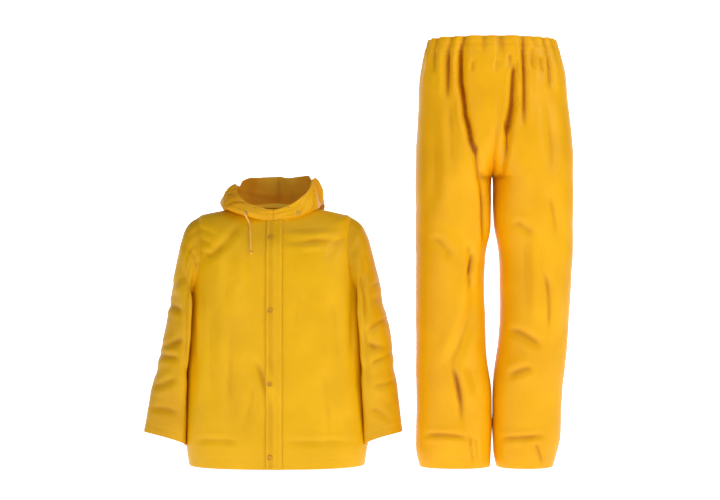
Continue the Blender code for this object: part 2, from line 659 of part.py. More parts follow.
def flap_angle(x, along):
    """Angle round the jacket at which its front has this distance from the middle."""
    width = curve(along, JACKET["along"], JACKET["left" if x > 0 else "right"])
    square = curve(along, JACKET["along"], JACKET["square"])
    return np.sign(x) * np.arcsin((np.abs(x) / width) ** (square / 2))


def storm_flap(cloth):
    """Strip over the front opening, made from the fronts' own points moved out."""
    levels = body_levels()[0]
    places = np.linspace(FLAP_RIGHT_X, FLAP_LEFT_X, 4)
    angle = np.stack([flap_angle(x, levels) for x in places], axis=-1)
    along = np.broadcast_to(levels[:, None], angle.shape)
    faced = facing(jacket, angle, along)
    rows = jacket(angle, along) + faced * (WALL + SEAM_GAP)
    wall("storm_flap", list(rows), list(faced), cloth)


def turned(name, profile, centre, axis, material, sides=16, ring=False):
    """Solid turned round an axis: the profile is (radius, height) pairs, closed on itself for a ring."""
    axis = unit(np.array(axis, float))
    across = unit(np.cross(axis, [0.0, 1.0, 0.3]))
    other = np.cross(axis, across)
    turn = np.linspace(0, 2 * np.pi, sides, endpoint=False)
    circle = np.cos(turn)[:, None] * across + np.sin(turn)[:, None] * other
    inside = profile if ring else profile[1:-1]
    points = np.concatenate([centre + radius * circle + height * axis for radius, height in inside])
    numbers = [[k * sides + i for i in range(sides)] for k in range(len(inside))]
    numbers = [row + row[:1] for row in numbers]
    if ring:
        numbers.append(numbers[0])
    faces = []
    for upper, lower in zip(numbers, numbers[1:]):
        faces += band(upper, lower)
    if not ring:
        ends = [centre + profile[0][1] * axis, centre + profile[-1][1] * axis]
        points = np.concatenate([points, ends])
        first, last = len(points) - 2, len(points) - 1
        faces += [(first, b, a) for a, b in zip(numbers[0], numbers[0][1:])]
        faces += [(last, a, b) for a, b in zip(numbers[-1], numbers[-1][1:])]
    return add_solid(name, points, faces, material)


def press_studs(metal):
    """Row of domed studs on the storm flap."""
    dome = [(0, STUD_HEIGHT), (0.5, 0.92 * STUD_HEIGHT), (0.86, 0.6 * STUD_HEIGHT), (1, 0.2 * STUD_HEIGHT),
            (1, 0), (0, 0)]
    profile = [(radius * STUD_RADIUS, height) for radius, height in dome]
    for number in range(STUD_COUNT):
        z = STUD_TOP_Z - number * STUD_SPACING
        along = np.array([np.interp(z, JACKET["front_z"], JACKET["along"])])
        angle = flap_angle(STUD_X, along)
        faced = facing(jacket, angle, along)[0]
        seat = jacket(angle, along)[0] + faced * (WALL + STUD_LIFT)
        turned(f"press_stud_{number + 1}", profile, seat, faced, metal)


def eyelet_place(side):
    angle = np.array([side * EYELET_ANGLE])
    level = np.array([EYELET_UP])
    return hood(angle, level)[0], facing(hood, angle, level)[0]


def eyelets(metal):
    """Rings in the hood's front edge that its drawcord passes."""
    low, high = 0.15 * EYELET_HEIGHT, EYELET_HEIGHT
    profile = [(EYELET_RADIUS, 0), (EYELET_RADIUS, 2 * low), (0.78 * EYELET_RADIUS, high),
               (EYELET_HOLE, 3 * low), (EYELET_HOLE, 0)]
    for name, side in (("eyelet_left", 1), ("eyelet_right", -1)):
        place, faced = eyelet_place(side)
        turned(name, profile, place + faced * EYELET_LIFT, faced, metal, ring=True)


def draw_cord(material, knot_material):
    """Free end of the hood's drawcord: out of the right eyelet and down over the chest to its knot."""
    place, faced = eyelet_place(-1)
    lift = CORD_DIAMETER / 2 + CORD_CLEAR
    exit_point = place + faced * CORD_EXIT_LIFT
    route = [exit_point, exit_point + faced * CORD_EXIT_REACH]
    for z, x in CORD_ROUTE:
        along = np.array([np.interp(z, JACKET["front_z"], JACKET["along"])])
        angle = flap_angle(x, along)
        for _ in range(6):
            point = jacket(angle, along)[0]
            along = along + (z - point[2]) * 0.8
            angle = flap_angle(x, along)
        point = jacket(angle, along)[0]
        route.append(point + facing(jacket, angle, along)[0] * lift)
    route = np.array(route)
    reach = np.concatenate([[0], np.cumsum(np.linalg.norm(np.diff(route, axis=0), axis=1))])
    at = np.linspace(0, reach[-1], CORD_POINTS)
    points = np.stack([curve(at, reach, route[:, k]) for k in range(3)], axis=-1)
    line = bpy.data.curves.new("hood_cord", "CURVE")
    line.dimensions = "3D"
    line.bevel_depth = CORD_DIAMETER / 2
    line.bevel_resolution = 2
    line.use_fill_caps = True
    spline = line.splines.new("POLY")
    spline.points.add(len(points) - 1)
    spline.points.foreach_set("co", np.column_stack([points, np.ones(len(points))]).ravel())
    line.materials.append(material)
    cord = bpy.data.objects.new("hood_cord", line)
    bpy.context.collection.objects.link(cord)
    end_way = unit(points[-1] - points[-2])
    turn = np.linspace(0, np.pi, 8)
    profile = [(KNOT_RADIUS * np.sin(t), KNOT_RADIUS * KNOT_STRETCH * np.cos(t)) for t in turn]
    centre = points[-1] + end_way * (KNOT_RADIUS * KNOT_STRETCH + SEAM_GAP)
    faced = facing(jacket, angle, along)[0]
    turned("hood_cord_knot", profile, centre + faced * KNOT_LIFT, end_way, knot_material, sides=12)


def waist_casing(cloth):
    """Gathered tube round the waist, in one ring."""
    place = np.linspace(0, 1, HIP_COLUMNS + 1)
    parts = ((1, -1, place), (1, 1, place[::-1]), (-1, 1, place), (-1, -1, place[::-1]))
    rows, faced = [], []
    for down in np.linspace(0, CASING_HEIGHT, CASING_ROWS):
        ring, ring_faced = [], []
        for leg, side, places in parts:
            surface = trouser_surface(leg, side)
            downs = np.full(len(places), down)
            directions = facing(surface, places, downs) * leg * side
            ring.append(surface(places, downs)[:-1])
            ring_faced.append(directions[:-1])
        rows.append(np.concatenate(ring))
        faced.append(np.concatenate(ring_faced))
    pull_down(rows, bottom=True)
    wall("waist_casing", rows, faced, cloth, closed=True)


def trouser_panels(cloth):
    """Front and back of each leg, from the waist casing to the hem."""
    dense = [CASING_HEIGHT, 0.065, 0.095, 0.13, 0.17, LEG_HALVING_DOWN]
    coarse = [0.25, 0.285, 0.315, 0.337, 0.349, CROTCH_DOWN, 0.375,
              0.42, 0.49, 0.57, 0.66, 0.75, 0.84, 0.91, 0.98, 1.05, 1.08, TROUSER_LENGTH]
    fine_places = np.linspace(0, 1, HIP_COLUMNS + 1)
    names = {
        (1, -1): "trouser_front_left", (-1, -1): "trouser_front_right",
        (1, 1): "trouser_back_left", (-1, 1): "trouser_back_right",
    }
    for (leg, side), name in names.items():
        surface = trouser_surface(leg, side)
        rows, faced = [], []
        for down in dense + coarse:
            places = fine_places if down in dense else fine_places[::2]
            downs = np.full(len(places), down)
            row = surface(places, downs)
            directions = facing(surface, places, downs) * leg * side
            directions[0, 0] = -leg * max(-leg * directions[0, 0], 0)
            if down <= RISE_START:
                directions[0, 0] = 0
            if down >= CROTCH_DOWN:
                directions[0, 1] = 0
            rows.append(row)
            faced.append(unit(directions))
        pull_in(rows, first=True, last=True)
        pull_down(rows, top=True)
        wall(name, rows, faced, cloth)


def main():
    for thing in list(bpy.data.objects):
        bpy.data.objects.remove(thing)
    jacket_cloth = finish("jacket_cloth", JACKET_YELLOW, 0.42)
    trouser_cloth = finish("trouser_cloth", TROUSER_YELLOW, 0.42)
    jacket_panels(jacket_cloth)
    jacket_sleeve("sleeve_left", 1, finish("sleeve_cloth_left", JACKET_YELLOW, 0.42))
    jacket_sleeve("sleeve_right", -1, finish("sleeve_cloth_right", JACKET_YELLOW, 0.42))
    hood_halves(finish("hood_cloth", JACKET_YELLOW, 0.42))
    storm_flap(finish("flap_cloth", JACKET_YELLOW, 0.42))
    press_studs(finish("stud_lacquer", STUD_YELLOW, 0.35, 0.2))
    eyelets(finish("eyelet_brass", BRASS, 0.3, 1.0))
    draw_cord(finish("cord_braid", CORD_YELLOW, 0.8), finish("knot_braid", CORD_YELLOW, 0.8))
    waist_casing(finish("casing_cloth", TROUSER_YELLOW, 0.42))
    trouser_panels(trouser_cloth)


main()
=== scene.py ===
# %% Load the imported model
import json
import bpy
import numpy as np
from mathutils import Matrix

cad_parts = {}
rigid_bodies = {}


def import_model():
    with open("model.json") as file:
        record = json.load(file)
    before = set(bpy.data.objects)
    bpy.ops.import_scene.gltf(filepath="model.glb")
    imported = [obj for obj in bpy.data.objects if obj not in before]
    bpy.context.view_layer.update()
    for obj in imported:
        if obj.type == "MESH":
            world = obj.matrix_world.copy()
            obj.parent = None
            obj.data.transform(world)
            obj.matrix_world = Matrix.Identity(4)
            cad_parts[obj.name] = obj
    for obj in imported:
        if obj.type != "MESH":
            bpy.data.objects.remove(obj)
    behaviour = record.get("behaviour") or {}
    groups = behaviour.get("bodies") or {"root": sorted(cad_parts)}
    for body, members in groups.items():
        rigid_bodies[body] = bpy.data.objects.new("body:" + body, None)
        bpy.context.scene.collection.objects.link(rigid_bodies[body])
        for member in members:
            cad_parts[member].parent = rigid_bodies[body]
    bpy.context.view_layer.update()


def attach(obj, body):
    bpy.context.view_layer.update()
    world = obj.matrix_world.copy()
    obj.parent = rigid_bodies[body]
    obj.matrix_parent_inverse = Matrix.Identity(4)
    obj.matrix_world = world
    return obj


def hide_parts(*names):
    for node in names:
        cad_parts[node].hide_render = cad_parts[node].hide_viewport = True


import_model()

# %% [markdown]
# # A rain suit: hooded jacket and elastic-waist trousers
# Both garments are sewn from polyester coated with PVC. They stand filled out, as if worn, with nobody in them.
# Every panel of cloth is one surface: a function of two parameters that gives a point in space. The same
# function gives the seams, so two panels that are sewn together share their edge exactly.

# %% Sizes, in metres
PHOTO_WIDTH, PHOTO_HEIGHT = 720, 500
METRES_PER_PIXEL = 0.0026
NECK_PIXEL_X, NECK_PIXEL_Y = 275, 214
TROUSERS_X = 0.5642
WAIST_TOP_Z = 0.452
CASING_HEIGHT = 0.040
TROUSER_LENGTH = 1.106
CLOTH = 0.0009              # coated cloth, drawn about three times as thick as it is
TURNED_CLOTH = 0.0016       # where it is turned over and stitched
QUARTER = np.pi / 2
STEP = 1e-4                 # step along a surface's parameters when its facing is measured
print("scale:", METRES_PER_PIXEL * 1000, "mm of the garments on each pixel of the photograph")

# %% [markdown]
# ## Camera
# The photograph looks level at the fronts. A long lens far away keeps the garments' sides nearly parallel.
# The image is 720 pixels wide and 2.6 mm of the garments fall on each, which gives the lens.

# %% Camera
CAMERA_DISTANCE = 4.5
SENSOR = 36.0
lens = bpy.data.cameras.new("camera")
lens.sensor_width = SENSOR
lens.lens = SENSOR * CAMERA_DISTANCE / (PHOTO_WIDTH * METRES_PER_PIXEL)
camera = bpy.data.objects.new("camera", lens)
camera.location = (
    (PHOTO_WIDTH / 2 - NECK_PIXEL_X) * METRES_PER_PIXEL,
    -CAMERA_DISTANCE,
    (NECK_PIXEL_Y - PHOTO_HEIGHT / 2) * METRES_PER_PIXEL,
)
camera.rotation_euler = (QUARTER, 0, 0)
bpy.context.scene.view_settings.view_transform = "Standard"    # saturated yellow stays as it is in a photograph
bpy.context.collection.objects.link(camera)
bpy.context.scene.camera = camera
print("lens", round(lens.lens, 1), "mm at", tuple(round(v, 3) for v in camera.location))

# %% [markdown]
# ## Helpers for surfaces
# A table of sizes at a few levels becomes a smooth line with a cubic on each stretch. A soft trough is the
# bell curve exp(-(distance / width)^2), which is how a fold in thick cloth fades out to both sides.

# %% Lines, rings and directions
NOT_SIZES = {"square", "angle", "level", "place", "leg", "side", "wide"}


def table(columns, *rows):
    """Short table with named columns, as one array for each name. Sizes stand there in millimetres."""
    return {name: values if name in NOT_SIZES else values / 1000
            for name, values in zip(columns.split(), np.array(rows, float).T)}


def millimetres(*rows):
    """Rows of sizes in millimetres, as an array in metres."""
    return np.array(rows, float) / 1000


def curve(at, knots, values, flat_ends=False):
    """Cubic through the values at the knots: on each stretch the Hermite blend of both ends and slopes."""
    at = np.asarray(at, float)
    slopes = np.gradient(values, knots, axis=0)
    if flat_ends:
        slopes[0] = slopes[-1] = 0
    k = np.clip(np.searchsorted(knots, at) - 1, 0, len(knots) - 2)
    span = knots[k + 1] - knots[k]
    t = (at - knots[k]) / span

    def pick(array, index):
        """The knot's value, or for an array with one line for each knot, its value in that line."""
        return array[index] if array.ndim == 1 else np.take_along_axis(array, index[None], axis=0)[0]

    start, end = pick(values, k), pick(values, k + 1)
    leave, arrive = pick(slopes, k) * span, pick(slopes, k + 1) * span
    return (
        (2 * t**3 - 3 * t**2 + 1) * start + (t**3 - 2 * t**2 + t) * leave
        + (3 * t**2 - 2 * t**3) * end + (t**3 - t**2) * arrive
    )


def row_at(rows, at):
    """Values of a table's other columns at a place along its first one."""
    first, *others = rows
    return {name: curve(at, rows[first], rows[name]) for name in others}


def run_of(points):
    """Distance of each point of a line from its first one, along the line."""
    return np.concatenate([[0], np.cumsum(np.linalg.norm(np.diff(points, axis=0), axis=1))])


def rounded(value, square):
    """Sine or cosine to the power 2 / square, keeping its sign: 2 is an ellipse, more is squarer."""
    return np.sign(value) * np.abs(value) ** (2 / square)


def smoothstep(value):
    """3 t^2 - 2 t^3 between 0 and 1, flat outside."""
    value = np.clip(value, 0, 1)
    return value * value * (3 - 2 * value)


def unit(vectors):
    """Vectors brought to length 1."""
    return vectors / np.linalg.norm(vectors, axis=-1, keepdims=True)


def hollow(distance, width):
    """Bell curve exp(-(distance / width)^2)."""
    return np.exp(-((distance / width) ** 2))


def wrapped(angle):
    """Angle brought between minus and plus half a turn."""
    return (angle + np.pi) % (2 * np.pi) - np.pi


def facing(surface, u, v):
    """Cross product of the surface's steps along its two parameters, as a unit vector."""
    along_u = surface(u + STEP, v) - surface(u - STEP, v)
    along_v = surface(u, v + STEP) - surface(u, v - STEP)
    return unit(np.cross(along_u, along_v))


def folded(surface, relief, side=1):
    """The surface pushed in along its facing by the relief's depth at each point."""
    def result(u, v):
        return surface(u, v) - side * facing(surface, u, v) * relief(u, v)[..., None]
    return result


# %% [markdown]
# ## Creases
# Coated cloth is stiff for its weight, so it breaks into a few long, soft creases instead of many small ones.
# Each crease is a line from one point to another with a bow, a width and a depth. Its section is a trough
# with a low shoulder at each side, because cloth that goes in somewhere comes out beside it.

# %% Crease lines
TROUSER_DEPTH = 1.7         # share by which the trousers' front creases are deepened, so that they read
SHOULDER = 0.35             # height of a crease's shoulders as a share of its depth
SHOULDER_AT = 1.9           # their distance from its middle, in widths


def creases(p, q, rows):
    """Sum over lines (p0 q0 p1 q1 bow wide deep): bell-curve troughs with shoulders, faded at both ends."""
    depth = np.zeros(np.broadcast(p, q).shape)
    for p0, q0, p1, q1, bow, wide, deep in rows:
        length = np.hypot(p1 - p0, q1 - q0)
        along = ((p - p0) * (p1 - p0) + (q - q0) * (q1 - q0)) / length**2
        across = ((q - q0) * (p1 - p0) - (p - p0) * (q1 - q0)) / length
        across = across - bow * (1 - (2 * np.clip(along, 0, 1) - 1) ** 2)
        ends = smoothstep((along + 0.2) / 0.45) * smoothstep((1.2 - along) / 0.45)
        shoulders = hollow(np.abs(across) / wide - SHOULDER_AT, 1)
        depth += deep * ends * (hollow(across, wide) - SHOULDER * shoulders)
    return depth


def uneven(p, q):
    """Slow waves in three directions whose lengths share no common measure, about half a millimetre high."""
    return (
        0.00045 * np.sin(41 * p + 17 * q + 0.6) + 0.00035 * np.sin(-23 * p + 53 * q + 2.1)
        + 0.0003 * np.sin(67 * p - 38 * q + 4.0) + 0.00016 * np.sin(121 * p + 97 * q + 1.2)
    )


def puckers(run):
    """Irregular wave along a seam, from three sines: the thread draws the cloth together unevenly."""
    return 0.5 * np.sin(run * 430) + 0.3 * np.sin(run * 271 + 1.7) + 0.3 * np.sin(run * 690 + 0.4)


THREAD_PULL, THREAD_WIDTH = 0.00045, 0.0016     # trough that a row of stitches pulls into the cloth
PUCKER_HEIGHT, PUCKER_REACH = 0.00038, 0.008    # puckers to each side of it


def stitched(distance, run):
    """Narrow trough along a row of stitches, with puckers to each side of it."""
    return THREAD_PULL * hollow(distance, THREAD_WIDTH) + PUCKER_HEIGHT * puckers(run) * hollow(distance, PUCKER_REACH)


print("a row of stitches sinks", THREAD_PULL * 1000, "mm into the cloth")

# %% [markdown]
# ## The jacket's body
# A ring of the body is a squared ellipse whose half widths and depths come from the table, level by level, and
# the rings close in over the shoulders to the neck. Angles run from the middle of the front over the wearer's
# left side. Sizes in tables are in millimetres. The crease lines are given in x and z, as they are seen from
# the front or the back.

# %% Body of the jacket
JACKET = table(
    "along side_z front_z back_z right left front back square",
    (0, -648, -648, -648, 221, 233, 138, 134, 2.5),
    (35, -613, -613, -613, 227, 239, 139, 135, 2.5),
    (110, -538, -538, -538, 231, 237, 138, 134, 2.5),
    (250, -398, -398, -398, 227, 232, 136, 131, 2.5),
    (350, -298, -298, -298, 224, 229, 134, 129, 2.5),
    (424, -224, -224, -224, 222, 226, 133, 129, 2.5),
    (500, -145, -155, -150, 217, 220, 130, 128, 2.5),
    (570, -70, -108, -93, 208, 210, 124, 126, 2.4),
    (625, -7, -74, -47, 195, 195, 114, 119, 2.2),
    (655, 0, -56, -24, 176, 174, 104, 108, 2.1),
    (690, 7, -37, -1, 146, 144, 92, 96, 2),
    (725, 12, -20, 18, 114, 112, 80, 86, 2),
)
ARMPIT_ALONG, SHOULDER_ALONG, NECK_ALONG = 0.424, 0.625, 0.725
SEAM_DEPTH, SEAM_WIDTH, RADIUS_AT_SEAM = 0.0007, 0.002, 0.25
JACKET_HEM = 0.028          # the hem's row of stitches, above the edge
JACKET_FOLDS = table(
    "angle along wide tall depth",
    (58, 330, 7, 110, 4.5),
    (-60, 300, 7, 120, 5),
    (-22, 170, 5, 80, 3),
    (34, 120, 6, 90, 2.5),
    (150, 260, 8, 130, 4.5),
    (-146, 300, 8, 120, 4.5),
    (178, 140, 6, 120, 3.5),
)
JACKET_FRONT_CREASES = millimetres(
    (21, -49, 165, -52, -4, 10, -2.6),
    (28, -73, 156, -68, 3, 9, 2.4),
    (70, -90, 120, -87, 2, 8, -2),
    (-96, -28, -190, -120, 10, 11, 3.2),
    (-206, -36, -160, -55, 3, 6, 2.4),
    (-212, -65, -165, -80, 2, 6, 2.2),
    (-214, -95, -170, -106, 2, 6, 2),
    (-91, -120, -89, -190, 4, 12, -2.4),
    (-118, -100, -126, -230, -4, 13, 2.2),
    (-50, -382, -26, -484, 6, 10, 3),
    (-52, -445, -83, -560, 4, 14, 2.2),
    (-200, -588, -100, -592, 2, 8, 1.7),
    (25, -592, 200, -590, -2, 8, 1.4),
    (-203, -185, -206, -390, 2, 7, -2.8),
    (211, -170, 214, -390, -2, 7, -2.8),
    (150, -220, 165, -400, 4, 15, 3.2),
    (-166, -230, -158, -500, -5, 14, 2.8),
    (120, -380, 136, -575, 5, 17, 2.2),
    (-115, -300, -126, -480, 4, 15, 2),
    (60, -190, 52, -330, 4, 16, 1.6),
    (186, -60, 140, -110, -6, 10, 2.2),
)
JACKET_BACK_CREASES = millimetres(
    (-150, -100, -90, -300, 10, 16, 3.4),
    (160, -110, 100, -330, -10, 16, 3.2),
    (-20, -160, 20, -420, 6, 19, 2.4),
    (-170, -360, -130, -600, 8, 18, 3.2),
    (150, -400, 172, -620, -6, 18, 3.2),
    (60, -440, 50, -640, 4, 16, 2.6),
    (-72, -420, -60, -640, -4, 15, 2.4),
    (-120, -70, 120, -64, 16, 12, 2.4),
    (-100, -520, 20, -552, 4, 10, 1.8),
    (202, -60, 150, -100, 4, 8, 2.4),
    (-204, -75, -158, -120, 4, 8, 2.2),
)

print("jacket creases:", len(JACKET_FRONT_CREASES), "in front,", len(JACKET_BACK_CREASES), "behind")

# %% Surface of the jacket's body
def jacket_plain(angle, along):
    """Squared ellipse at each distance along, with its height blended from the middle to the side."""
    row = row_at(JACKET, along)
    sideways = rounded(np.sin(angle), row["square"])
    forwards = rounded(np.cos(angle), row["square"])
    x = sideways * np.where(sideways > 0, row["left"], row["right"])
    y = -forwards * np.where(forwards > 0, row["front"], row["back"])
    middle_z = np.where(forwards > 0, row["front_z"], row["back_z"])
    z = middle_z + (row["side_z"] - middle_z) * np.sin(angle) ** 2
    return np.stack([x, y, z], axis=-1)


def as_seen(x, y, z):
    """x and z carried to the plane y = 0 along the camera's line of sight, where the photograph is measured."""
    nearer = CAMERA_DISTANCE / (CAMERA_DISTANCE + y)
    return (x - camera.location.x) * nearer + camera.location.x, (z - camera.location.z) * nearer + camera.location.z


def front_and_back(x, y, z, front_rows, back_rows, seen=True):
    """Creases of the front where y is negative and of the back where it is positive, blended at the side."""
    front = smoothstep((0.02 - y) / 0.04)
    across, up = as_seen(x, y, z) if seen else (x, z)
    return front * creases(across, up, front_rows) + (1 - front) * creases(x, z, back_rows)


def jacket_relief(angle, along):
    """Depth of the body's folds, creases, side seams and hem."""
    depth = np.zeros(np.broadcast(angle, along).shape)
    for place, level, wide, tall, deep in zip(*JACKET_FOLDS.values()):
        depth += deep * hollow(wrapped(angle - np.radians(place)), np.radians(wide)) * hollow(along - level, tall)
    x, y, z = np.moveaxis(jacket_plain(angle, along), -1, 0)
    depth += front_and_back(x, y, z, JACKET_FRONT_CREASES, JACKET_BACK_CREASES)
    beside_seam = (np.abs(wrapped(angle)) - QUARTER) * RADIUS_AT_SEAM
    depth += SEAM_DEPTH * hollow(beside_seam, SEAM_WIDTH) + 0.0004 * puckers(along) * hollow(beside_seam, 0.010)
    return depth + stitched(along - JACKET_HEM, angle * 0.2) + uneven(x + 0.4 * y, z)


jacket = folded(jacket_plain, jacket_relief)
print("jacket body:", round(2 * float(JACKET["left"].max()), 3), "m across the chest")

# %% [markdown]
# ## Sleeves
# A set-in sleeve starts on the armhole's line on the body and eases into plain rings that slant down and out.
# Its creases gather at the elbow, and deep ones run where the arm hangs against the body.

# %% Sleeves
ARMHOLE_REACH = 0.56
SLEEVE = table(
    "down right_in left_in inner_z right_out left_out outer_z deep square",
    (0, 222, 226, -224, 195, 195, -7, 80, 2),
    (40, 225, 229, -227.5, 228, 229, -33, 88, 2.1),
    (90, 226.5, 231, -234, 249, 252, -96, 93, 2.2),
    (150, 227, 232, -248, 261, 268, -158, 96, 2.3),
    (220, 226.5, 231.5, -277, 272, 281, -222, 96, 2.3),
    (300, 226.5, 231.5, -322, 285, 298, -295, 94, 2.3),
    (380, 228.5, 233.5, -393, 301, 309, -370, 90, 2.3),
    (460, 231, 236.5, -464, 317, 317, -438, 84, 2.3),
    (540, 232.5, 239, -534, 330, 324, -503, 74, 2.3),
    (610, 232.5, 240, -601, 341, 331, -564, 62, 2.3),
)
SLEEVE_WRAP, SLEEVE_MERGE = 0.036, 0.22
SLEEVE_LENGTH, CUFF_HEM = 0.610, 0.025
SLEEVE_FOLDS = table(
    "angle along wide tall depth",
    (120, 130, 26, 30, 5),
    (150, 215, 30, 24, 4.5),
    (110, 330, 34, 28, 5.5),
    (70, 395, 30, 22, 4),
    (190, 420, 40, 26, 4.5),
    (120, 520, 30, 28, 4),
    (250, 250, 34, 30, 5),
    (290, 370, 34, 26, 4.5),
)

# %% Creases of the sleeves
SLEEVE_FRONT_CREASES = {
    1: millimetres(
        (234.5, -150, 236.5, -275, 0, 5.5, 4.8),
        (236, -275, 240, -450, 0, 6, 3),
        (235, -45, 215, -100, 3, 8, 2.2),
        (245, -200, 285, -170, 3, 9, 2.7),
        (242, -300, 295, -270, 3, 9, 3),
        (245, -335, 300, -345, -4, 9, 3.2),
        (250, -385, 312, -360, 3, 10, 3.6),
        (258, -440, 315, -430, -3, 9, 2.6),
        (250, -500, 300, -530, 3, 9, 2.2),
    ),
    -1: millimetres(
        (-222.5, -130, -223.5, -450, 0, 6, 3),
        (-232, -75, -212, -140, 3, 7, 3.2),
        (-240, -160, -270, -190, 3, 8, 2.6),
        (-236, -250, -285, -235, -3, 9, 3),
        (-240, -320, -300, -345, 4, 9, 3.2),
        (-245, -370, -308, -365, -3, 9, 3.6),
        (-250, -420, -315, -445, 3, 10, 3),
        (-250, -510, -320, -500, -3, 9, 2.2),
    ),
}
SLEEVE_BACK_CREASES = millimetres(
    (245, -120, 260, -200, 3, 9, 3),
    (240, -260, 285, -235, 3, 10, 3.4),
    (242, -320, 298, -330, -3, 9, 3),
    (248, -380, 308, -352, 3, 10, 3.4),
    (254, -450, 314, -470, -3, 10, 2.6),
)

print("sleeve creases:", len(SLEEVE_FRONT_CREASES[1]), "left,", len(SLEEVE_FRONT_CREASES[-1]), "right")

# %% Surfaces of the sleeves
def armhole_line(side, turn):
    """Closed line on the body: turn 0 is the armpit, a quarter turn the front, half a turn the shoulder."""
    angle = side * (QUARTER - ARMHOLE_REACH * np.sin(turn))
    along = ARMPIT_ALONG + (SHOULDER_ALONG - ARMPIT_ALONG) * (1 - np.cos(turn)) / 2
    return angle, along


def sleeve_ring(side, turn, down):
    """Squared ellipse between an inner and an outer point, with its front and back wrapped round the body."""
    row = row_at(SLEEVE, down)
    outer_x = row["left_out"] if side > 0 else row["right_out"]
    inner_x = row["left_in"] if side > 0 else row["right_in"]
    nearer = (1 + rounded(np.cos(turn), row["square"])) / 2
    forwards = rounded(np.sin(turn), row["square"])
    wrap = SLEEVE_WRAP * smoothstep(down / SLEEVE_MERGE) * forwards**2
    x = side * (outer_x + (inner_x - outer_x) * nearer - wrap)
    z = row["outer_z"] + (row["inner_z"] - row["outer_z"]) * nearer
    return np.stack([x, -row["deep"] * forwards, z], axis=-1)


def sleeve_surface(side):
    """The armhole's line fades out into the rings; then come folds, creases, gathers and the cuff's hem."""
    def plain(turn, down):
        start = jacket(*armhole_line(side, turn))
        fade = 1 - smoothstep(down / SLEEVE_MERGE)
        return sleeve_ring(side, turn, down) + fade[..., None] * (start - sleeve_ring(side, turn, down * 0))

    def relief(turn, down):
        depth = np.zeros(np.broadcast(turn, down).shape)
        for place, level, wide, tall, deep in zip(*SLEEVE_FOLDS.values()):
            slant = down - level - 0.02 * side * np.sin(turn - np.radians(place))
            depth += deep * hollow(wrapped(turn - np.radians(place)), np.radians(wide)) * hollow(slant, tall)
        x, y, z = np.moveaxis(sleeve_ring(side, turn, down), -1, 0)
        behind = [(side * p0, q0, side * p1, q1, side * bow, wide, deep)
                  for p0, q0, p1, q1, bow, wide, deep in SLEEVE_BACK_CREASES]
        depth += front_and_back(x, y, z, SLEEVE_FRONT_CREASES[side], behind, seen=False)
        gathers = 0.0011 * puckers(turn * 0.035 + side) * hollow(down - 0.018, 0.016)
        depth += stitched(down - SLEEVE_LENGTH + CUFF_HEM, turn * 0.1) + uneven(x + y, z) + gathers
        return depth * smoothstep(down / 0.02)

    return folded(plain, relief, side=-side)


sleeves = {side: sleeve_surface(side) for side in (1, -1)}
print("sleeves:", SLEEVE_LENGTH, "m from the shoulder to the cuff")

# %% [markdown]
# ## Hood
# The hood is pushed back: from the neck seam it rises at the sides, falls back behind the neck and comes up
# again to its free edge. A tunnel for the drawcord runs along that edge, and the cord puckers it.

# %% Hood
HOOD = table(
    "level front_out front_up near_out near_up side_out side_up corner_out corner_up back_out back_up",
    (0, 0, 0, 0, 0, 0, 0, 0, 0, 0, 0),
    (0.1, 2, 3, 5, 4, 4, 4, 9, 6, 10, 10),
    (0.2, 3, 6, 7, 9, 5, 10, 21, 8, 26, 6),
    (0.3, 4, 9, 8, 15, 4, 18, 33, 2, 39, -40),
    (0.4, 4, 12, 8, 21, 2, 27, 43, -10, 47, -95),
    (0.5, 4, 15, 7, 27, 0, 36, 51, -18, 56, -145),
    (0.6, 4, 18, 6, 33, -2, 45, 57, -12, 80, -164),
    (0.7, 3, 21, 4, 39, -4, 54, 59, 8, 106, -126),
    (0.8, 3, 24, 2, 45, -7, 62, 53, 34, 114, -50),
    (0.9, 2, 27, 0, 51, -10, 70, 40, 60, 100, 34),
    (1, 2, 30, -2, 56, -15, 77, 21, 82, 72, 87),
)
HOOD_ANGLES = np.radians([0, 50, 90, 135, 180])
HOOD_SLUMP_OUT, HOOD_SLUMP_DOWN, HOOD_SLUMP_BEND = 0.022, 0.016, 0.55
HOOD_TUNNEL = 0.90          # level of the drawcord tunnel's row of stitches
HOOD_ROUND, HOOD_TALL = 0.11, 0.20   # metres for one radian and for the whole range of levels
HOOD_CREASES = (            # angle and level of both ends; bow, width and depth in metres
    (2.10, 0.60, 2.25, 1.05, 0.004, 0.018, 0.0110),
    (2.62, 0.62, 2.66, 1.05, 0.002, 0.015, -0.0070),
    (-2.30, 0.55, -2.15, 1.05, 0.004, 0.019, 0.0140),
    (-2.75, 0.60, -2.70, 1.05, 0.002, 0.015, -0.0080),
    (3.02, 0.62, 2.98, 1.05, 0.003, 0.016, 0.0090),
    (-1.90, 0.62, -1.75, 1.00, 0.003, 0.012, 0.0080),
    (1.70, 0.60, 1.62, 1.00, 0.003, 0.011, 0.0070),
    (-1.75, 0.15, -1.25, 0.75, 0.004, 0.009, 0.0042),
    (-1.10, 0.25, -0.75, 0.90, 0.003, 0.008, 0.0032),
    (-2.20, 0.35, -1.75, 0.90, 0.004, 0.011, 0.0042),
    (1.05, 0.20, 1.30, 0.80, 0.003, 0.009, 0.0034),
    (1.75, 0.30, 1.52, 0.90, 0.003, 0.010, 0.0040),
    (0.60, 0.25, 0.78, 0.80, 0.002, 0.007, 0.0024),
    (2.60, 0.30, 2.40, 0.80, 0.004, 0.013, 0.0040),
    (-2.70, 0.40, -2.60, 0.90, 0.004, 0.013, 0.0040),
    (-1.55, 0.30, -1.45, 0.95, 0.002, 0.006, 0.0030),
    (2.05, 0.10, 2.10, 0.45, 0.002, 0.008, 0.0028),
)

